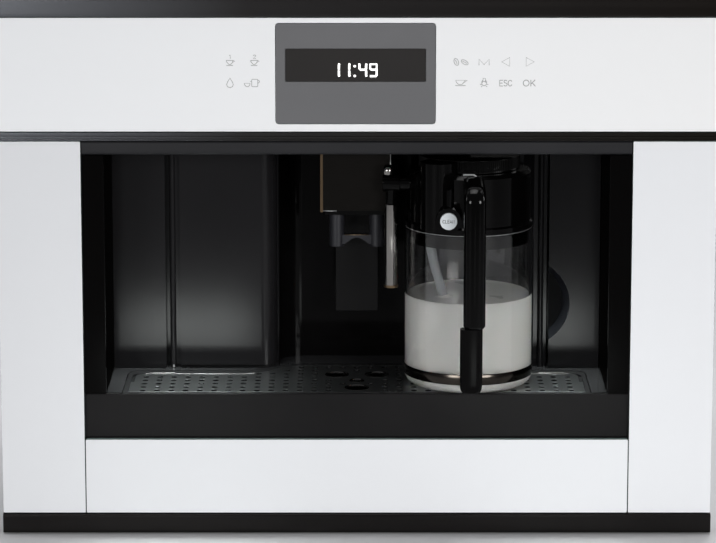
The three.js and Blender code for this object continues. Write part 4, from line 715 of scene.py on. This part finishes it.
def dress_nozzles():
    """Two outlets side by side with a low arched bridge between them."""
    outlet = [(2.5, 240), (2.5, 232.6), (5.9, 232.6), (6.5, 233.2), (6.5, 261.7), (2.5, 261.7)]
    pair = bmesh.new()
    for x in (-OUTLET_X, OUTLET_X):
        lathe(outlet, (x, OUTLET_Y), 48, closed=True, bm=pair)
    underside = [(x, 235 + 5.5 * math.cos(math.pi * x / 20)) for x in range(-10, 11)]
    arch = [(-OUTLET_X, 243), (-OUTLET_X, 235), *underside, (OUTLET_X, 235), (OUTLET_X, 243)]
    prism(pair, arch, OUTLET_Y - 4.5, OUTLET_Y + 4.5)
    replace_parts(piece("outlet_pair", pair, "coffee_spout", "satin_grey"), "coffee_nozzles")
    # painted warm reflection: a thin strip along the bridge's front edge
    edge = boxes((-10.4, 10.4, 69.2, 70, 242.6, 243.2))
    piece("bridge_edge_reflection", edge, "coffee_spout", "satin_grey", WARM_REFLECTION)


def dress_spouts():
    """Painted highlights on the edges of the coffee spout's plate, a painted warm reflection along its
    housing, and the milk spout's pivot and tip, whose ring carries a painted warm reflection.
    """
    # painted highlights: thin strips on the plate's right edge and part of its lower edge
    edges = boxes((28.1, 28.62, 55.9, 59.3, 266.4, 330.6), (-28.4, -17, 55.85, 56.4, 265.8, 266.3))
    piece("plate_edge_highlights", edges, "coffee_spout", "chrome", PAINTED_EDGE_HIGHLIGHT)
    # painted warm reflection: a strip along the housing's left corner
    corner = boxes((-31, -28.4, 61, 63.4, 264, 331))
    piece("housing_edge_reflection", corner, "coffee_spout", "brushed_dark", WARM_REFLECTION, bevel=0.3)
    cap = [(0, 299.4), (4.6, 299.6), (5.2, 300.6), (5.2, 303.8), (4.2, 306.2), (2.2, 307.5), (0, 307.9)]
    piece("pivot_cap", lathe(cap, (26.2, 44.6), 32), "carafe", "chrome")
    # the tip ring's colour is a painted warm reflection
    tip = [(4.6, 202.9), (5.9, 203), (6.05, 203.6), (6.05, 205), (5.8, 205.2)]
    piece("milk_tip", lathe(tip, (28.8, 45), 48, closed=True), "milk_spout", "chrome", WARM_REFLECTION)


def button_word():
    """The small word on the cleaning button."""
    x, top, low = 442.0, 214.4, 217.6
    mid = (top + low) / 2
    letters = [
        [(1.8, top + 0.5), (0.9, top), (0, top + 0.8), (0, low - 0.8), (0.9, low), (1.8, low - 0.5)],
        [(2.5, top), (2.5, low), (4.0, low)],
        [(6.4, top), (4.8, top), (4.8, low), (6.4, low)],
        [(4.8, mid), (6.2, mid)],
        [(7.0, low), (7.9, top), (8.8, low)],
        [(7.4, mid + 0.6), (8.4, mid + 0.6)],
        [(9.6, low), (9.6, top), (11.2, low), (11.2, top)]]
    word = [[(x + right, y) for right, y in letter] for letter in letters]
    printed("button_word", word, 0.42, "satin_grey", INK_AND_PAINTED_SHADE, body="clean_button", face=BUTTON_FACE)


TANK_SIDE, TANK_FRONT = 165.3, 97.0  # the tank front's left edge and face


def dress_tank_grip():
    """The half-moon grip of the water tank: a dished wall made lighter as painted light, round a floor
    darkened as painted shade.
    """
    centre = (TANK_SIDE - 20, 178)
    back = TANK_FRONT + 13.6
    ring = [(32.6, TANK_FRONT + 9), (37.8, TANK_FRONT - 1), (37.8, back), (32.6, back)]
    disc = [(0, TANK_FRONT + 9.4), (32.4, TANK_FRONT + 9.4), (32.4, back), (0, back)]
    wall = lathe(ring, centre, axis="y", closed=True)
    floor = lathe(disc, centre, axis="y")
    for bm in (wall, floor):
        slice_off(bm, at(TANK_SIDE + 0.4, 0, 0), Vector((-1, 0, 0)))
    piece("grip_wall", wall, "water_tank", "liner_black", GRIP_WALL_PAINTED_LIGHT)
    # painted shade: a near-black disc at the grip's floor
    piece("grip_floor_shade", floor, "water_tank", "liner_black", INK_AND_PAINTED_SHADE)


dress_nozzles()
dress_spouts()
button_word()
dress_tank_grip()


# ------------------------------------------------------------------ casing: screws, pins, marks, seal
CASING_REAR, CASING_TOP, CASING_SIDE = 368.3, 442, 261.5


def screws(name, axis, level, places):
    """Cross-head screws on a sheet, whose crosses are dark blocks that stand for the slots as painted
    shade; level is the sheet's face along the axis.
    """
    outward = math.copysign(1, level)
    raised = [(0, 0), (3.4, 0), (3.4, 0.5), (2.6, 1.3), (0, 1.6)]
    head = [(r, level + h * outward) for r, h in raised]
    near, far = sorted((level + 1.1 * outward, level + 1.68 * outward))
    heads, slot_shades = bmesh.new(), bmesh.new()
    for a, b in places:
        lathe(head, (a, b), 16, axis, bm=heads)
        # painted shade: dark crosses stand for the slots
        for wide, high in ((1.7, 0.35), (0.35, 1.7)):
            across, along = (a - wide, a + wide), (b - high, b + high)
            block(slot_shades, *{"x": (near, far, *across, *along),
                           "y": (*across, near, far, *along),
                           "z": (*across, *along, near, far)}[axis])
    piece(name + "_screws", heads, "machine", "zinc_sheet", FINISH["chrome"])
    piece(name + "_cross_shades", slot_shades, "machine", "zinc_sheet", INK_AND_PAINTED_SHADE, smooth=False)


def dress_casing():
    rear = [(x, z) for x in (-252, -84, 84, 252) for z in (17, 426)]
    rear += [(x, z) for x in (-252, 252) for z in (150, 290)]
    screws("rear", "y", CASING_REAR, rear)
    screws("top", "z", CASING_TOP, [(x, y) for x in (-253, 253) for y in (34, 190, 356)])
    flank = [(36, 422), (190, 422), (352, 422), (352, 130), (36, 130)]
    screws("left", "x", -CASING_SIDE, flank)
    screws("right", "x", CASING_SIDE, flank)
    pins = boxes((189.1, 190.9, 349, 364, 73, 78), (182.1, 183.9, 349, 363, 62, 67),
                 (196.1, 197.9, 349, 363, 62, 67))
    piece("inlet_pins", pins, "machine", "chrome", bevel=0.3)
    casing_marks()
    seal = boxes((-274, -269, 20, 22.6, 100, 446), (269, 274, 20, 22.6, 100, 446),
                 (-269, 269, 20, 22.6, 443.5, 446))
    piece("frame_seal", seal, "machine", "satin_black", RUBBER, bevel=0.8)


def casing_marks():
    """On and off beside the main switch, and the steps round the grind knob."""
    on = [(140, CASING_REAR, 86.5), (140, CASING_REAR, 90.5)]
    off = [(x, CASING_REAR, z) for x, z in ellipse(140, 51.5, 2.1, 2.1, 0, 24)]
    marks = rods([off], 0.45, bm=rods([on], 0.45))
    turns = [math.radians(a) for a in range(-45, 226, 45)]
    steps = [[(190 + r * math.cos(a), 230 + r * math.sin(a), CASING_TOP) for r in (20, 24)] for a in turns]
    rods(steps, 0.4, bm=marks)
    piece("casing_marks", marks, "machine", "zinc_sheet", INK_AND_PAINTED_SHADE)


dress_casing()


# ------------------------------------------------------------------ display and touch keys
def shifted(dx, strokes):
    return [[(x + dx, y) for x, y in stroke] for stroke in strokes]


def clock():
    one = [[(339.9, 60.6), (339.4, 61.8), (339.4, 66.6)], [(339.4, 67.6), (339.4, 72.4), (339.9, 73.6)]]
    four = [[(359.3, 60.6), (359.6, 62.0), (359.6, 65.6), (360.8, 66.8), (366.2, 66.8)],
            [(366.6, 60.8), (366.2, 62.0), (366.2, 66.4)], [(366.2, 67.4), (366.2, 72.2), (366.7, 73.6)]]
    nine = [[(376.5, 66.8), (371.4, 66.8), (370.2, 65.6), (370.2, 61.4), (376.5, 61.4),
             (376.5, 72.2), (375.6, 73.2), (370.0, 73.2)]]
    strokes = one + shifted(10.2, one) + four + nine
    printed("clock_digits", strokes, 1.75, "screen_glass", DIGITS)
    dots = bmesh.new()
    for py in (63.3, 73.0):
        x, z = picture_point(355.0, py)
        prism(dots, rounded(x - 1.05, x + 1.05, z - 0.95, z + 0.95, 0.7, 3), -0.04, 0.01)
    piece("clock_dots", dots, "machine", "screen_glass", DIGITS, smooth=False)


def icons():
    cup = [[(228.6, 57.6), (235.4, 57.6), (237.0, 58.4), (234.7, 59.5)],
           [(228.6, 57.6), (229.2, 59.4), (231.2, 61.6), (232.9, 61.6), (234.6, 59.8), (235.4, 57.6)],
           [(228.8, 62.6), (235.2, 62.6)]]
    counts = [[(231.5, 52.9), (232.6, 52.1), (232.6, 55.8)],
              [(255.1, 53.0), (256.0, 52.1), (257.2, 52.3), (257.6, 53.2), (255.1, 55.7), (257.8, 55.7)]]
    drop = [[(232.1, 75.0), (234.4, 79.0), (235.4, 81.6), (234.5, 83.7), (232.1, 84.7), (229.7, 83.7),
             (228.8, 81.6), (229.8, 79.0), (232.1, 75.0)]]
    bowl = [[(246.1, 80.3), (252.0, 80.3), (251.6, 81.8), (250.2, 83.6), (248.0, 83.6), (246.6, 81.9),
             (246.1, 80.3)]]
    mug = [[(254.2, 76.3), (258.8, 76.3), (259.5, 77.0), (259.5, 83.0), (258.8, 83.7), (254.2, 83.7),
            (253.5, 83.0), (253.5, 77.0), (254.2, 76.3)],
           [(252.1, 78.5), (253.5, 78.5)],
           [(259.5, 77.2), (261.0, 77.8), (261.2, 78.9), (259.6, 80.4)]]
    beans = [ellipse(454.9, 59.1, 3.6, 2.1, 68), [(453.9, 57.1), (455.0, 59.1), (455.7, 61.2)],
             ellipse(463.1, 59.4, 3.8, 1.9, 31), [(460.9, 58.2), (463.3, 59.4), (465.2, 60.6)]]
    menu = [[(477.2, 62.4), (477.2, 56.3), (482.2, 61.8), (487.2, 56.3), (487.2, 62.4)]]
    arrows = [[(507.4, 54.6), (499.6, 59.0), (507.4, 63.4), (507.4, 54.6)],
              [(523.6, 54.6), (531.5, 59.0), (523.6, 63.4), (523.6, 54.6)]]
    wide_cup = [[(454.4, 77.3), (463.4, 77.3), (462.3, 79.6), (460.6, 81.4), (457.2, 81.4), (455.2, 79.6),
                 (454.4, 77.3)],
                [(463.4, 77.3), (465.9, 77.4), (463.0, 79.4)],
                [(454.0, 82.6), (464.1, 82.6)]]
    lamp_key = [[(481.3, 79.0), (481.3, 75.4), (483.6, 75.4), (483.6, 79.0)],
                ellipse(482.4, 80.6, 2.3, 2.1, 0), [(481.2, 77.0), (479.8, 79.4)],
                [(483.7, 77.0), (485.1, 79.4)], [(478.3, 81.6), (480.0, 81.2)],
                [(486.6, 81.6), (484.9, 81.2)], [(479.5, 83.9), (480.7, 83.0)],
                [(485.4, 83.9), (484.2, 83.0)]]
    thin = cup + shifted(24.0, cup) + counts + drop + bowl + mug + beans + menu + arrows + wide_cup
    printed("touch_icons", thin + lamp_key, 0.52, "grey_glass", INK)


def key_words():
    letters = [
        [(500.9, 77.3), (497.7, 77.3), (497.7, 83.0), (500.9, 83.0)],
        [(497.7, 80.1), (500.6, 80.1)],
        [(504.9, 78.0), (503.8, 77.2), (502.3, 77.4), (501.9, 78.8), (502.8, 79.8), (504.6, 80.4),
         (505.1, 81.6), (504.4, 82.8), (503.0, 83.0), (501.7, 82.2)],
        [(509.7, 78.6), (508.8, 77.4), (507.4, 77.3), (506.2, 78.6), (506.0, 80.1), (506.3, 81.8),
         (507.4, 83.0), (508.8, 82.8), (509.8, 81.6)],
        ellipse(523.8, 80.1, 2.9, 3.0, 0),
        [(528.4, 76.9), (528.4, 83.3)],
        [(532.6, 76.9), (528.5, 80.9)],
        [(529.7, 79.8), (532.9, 83.3)]]
    printed("touch_words", letters, 0.66, "grey_glass", INK)


clock()
icons()
key_words()


# ------------------------------------------------------------------ floor, light and camera
FLOOR_HALF = 6.0
NEUTRAL, NICHE_TINT, CARD_TINT = (1, 1, 1), (0.93, 1.0, 0.98), (0.95, 1.0, 0.98)
FRONT_MIDDLE, BODY_MIDDLE = (0, -0.15, 0.23), (0, 0, 0.23)
# name, place, target, width and height (all in metres), watts, spread in degrees
STUDIO_LAMPS = (
    ("key", (1.7, -3.1, 0.8), FRONT_MIDDLE, (1.2, 0.8), 4.3, 50),
    ("fill", (-1.5, -3.3, 0.8), FRONT_MIDDLE, (1.2, 0.8), 3.5, 50),
    ("rear", (0.8, 2.6, 1.9), (0, 0.1, 0.3), (1.4, 1.0), 4.5, 60),
    ("left_side", (-2.7, 0.3, 0.9), BODY_MIDDLE, (1.0, 0.8), 1.5, 50),
    ("right_side", (2.7, 0.3, 0.9), BODY_MIDDLE, (1.0, 0.8), 1.5, 50),
    ("above", (0, -0.1, 2.6), (0, 0, 0.4), (1.2, 1.0), 1.3, 50),
    ("floor_rear", (0, 1.7, 2.4), (0, 1.5, 0), (2.4, 1.6), 9, 120))


def stage():
    bm = bmesh.new()
    corners = ((-1, -1), (1, -1), (1, 1), (-1, 1))
    bm.faces.new([bm.verts.new((x * FLOOR_HALF, y * FLOOR_HALF, 0.0)) for x, y in corners])
    mesh = bpy.data.meshes.new("floor")
    bm.to_mesh(mesh)
    bm.free()
    floor = bpy.data.objects.new("floor", mesh)
    bpy.context.scene.collection.objects.link(floor)
    mesh.materials.append(surface("floor_paint", (0.62, 0.62, 0.63), 0.7, vary=0.02, scale=2))


def world_light():
    world = bpy.data.worlds.new("studio")
    world.use_nodes = True
    background = world.node_tree.nodes["Background"]
    background.inputs["Color"].default_value = (0.93, 0.95, 1.0, 1)
    background.inputs["Strength"].default_value = 0.14
    bpy.context.scene.world = world


def lamp(name, place, target, size, power, spread, color=NEUTRAL, seen=True):
    light = bpy.data.lights.new(name, "AREA")
    light.shape = "RECTANGLE"
    light.size, light.size_y = size
    light.energy = power
    light.color = color
    light.spread = math.radians(spread)
    obj = bpy.data.objects.new(name, light)
    obj.location = place
    way = Vector(target) - Vector(place)
    obj.rotation_euler = way.to_track_quat("-Z", "Y").to_euler()
    obj.visible_camera = seen
    bpy.context.scene.collection.objects.link(obj)


def studio():
    """Lamps round the machine and in the niche, and narrow cards that the dark parts mirror."""
    for settings in STUDIO_LAMPS:
        lamp(*settings)
    for side in (-1, 1):
        lamp(f"floor_{side}", (1.9 * side, 0.4, 2.2), (1.7 * side, 0.4, 0), (1.4, 2.0), 5, 90)
        lamp(f"niche_{side}", at(150 * side, 45, CEILING - 4), at(150 * side, 45, SILL),
             (0.11, 0.03), 0.095, 56, NICHE_TINT, seen=False)
        lamp(f"card_{side}", (0.175 * side, -0.68, 0.023), (0.14 * side, -0.08, 0.12), (0.13, 0.044),
             0.0085, 40, CARD_TINT, seen=False)
    lamp("shine", (0.1235, -0.91, 0.13), (0.0966, -0.21, 0.25), (0.004, 0.13), 0.0045, 180,
         seen=False)


def camera():
    """A long lens from a little above, with a small lens shift that holds the front in view."""
    distance, height, aside, tilt = 2.6, 0.763, 0.001, 10.4
    data = bpy.data.cameras.new("camera")
    obj = bpy.data.objects.new("camera", data)
    bpy.context.scene.collection.objects.link(obj)
    bpy.context.scene.camera = obj
    obj.location = (aside, GLASS_Y / 1000 - distance, height)
    obj.rotation_euler = (math.radians(90 - tilt), 0, 0)
    data.sensor_width = 36
    data.lens = 160.9
    data.shift_y = -0.1
    data.clip_start, data.clip_end = 0.05, 50


stage()
world_light()
studio()
camera()
bpy.context.scene.view_settings.view_transform = "Standard"
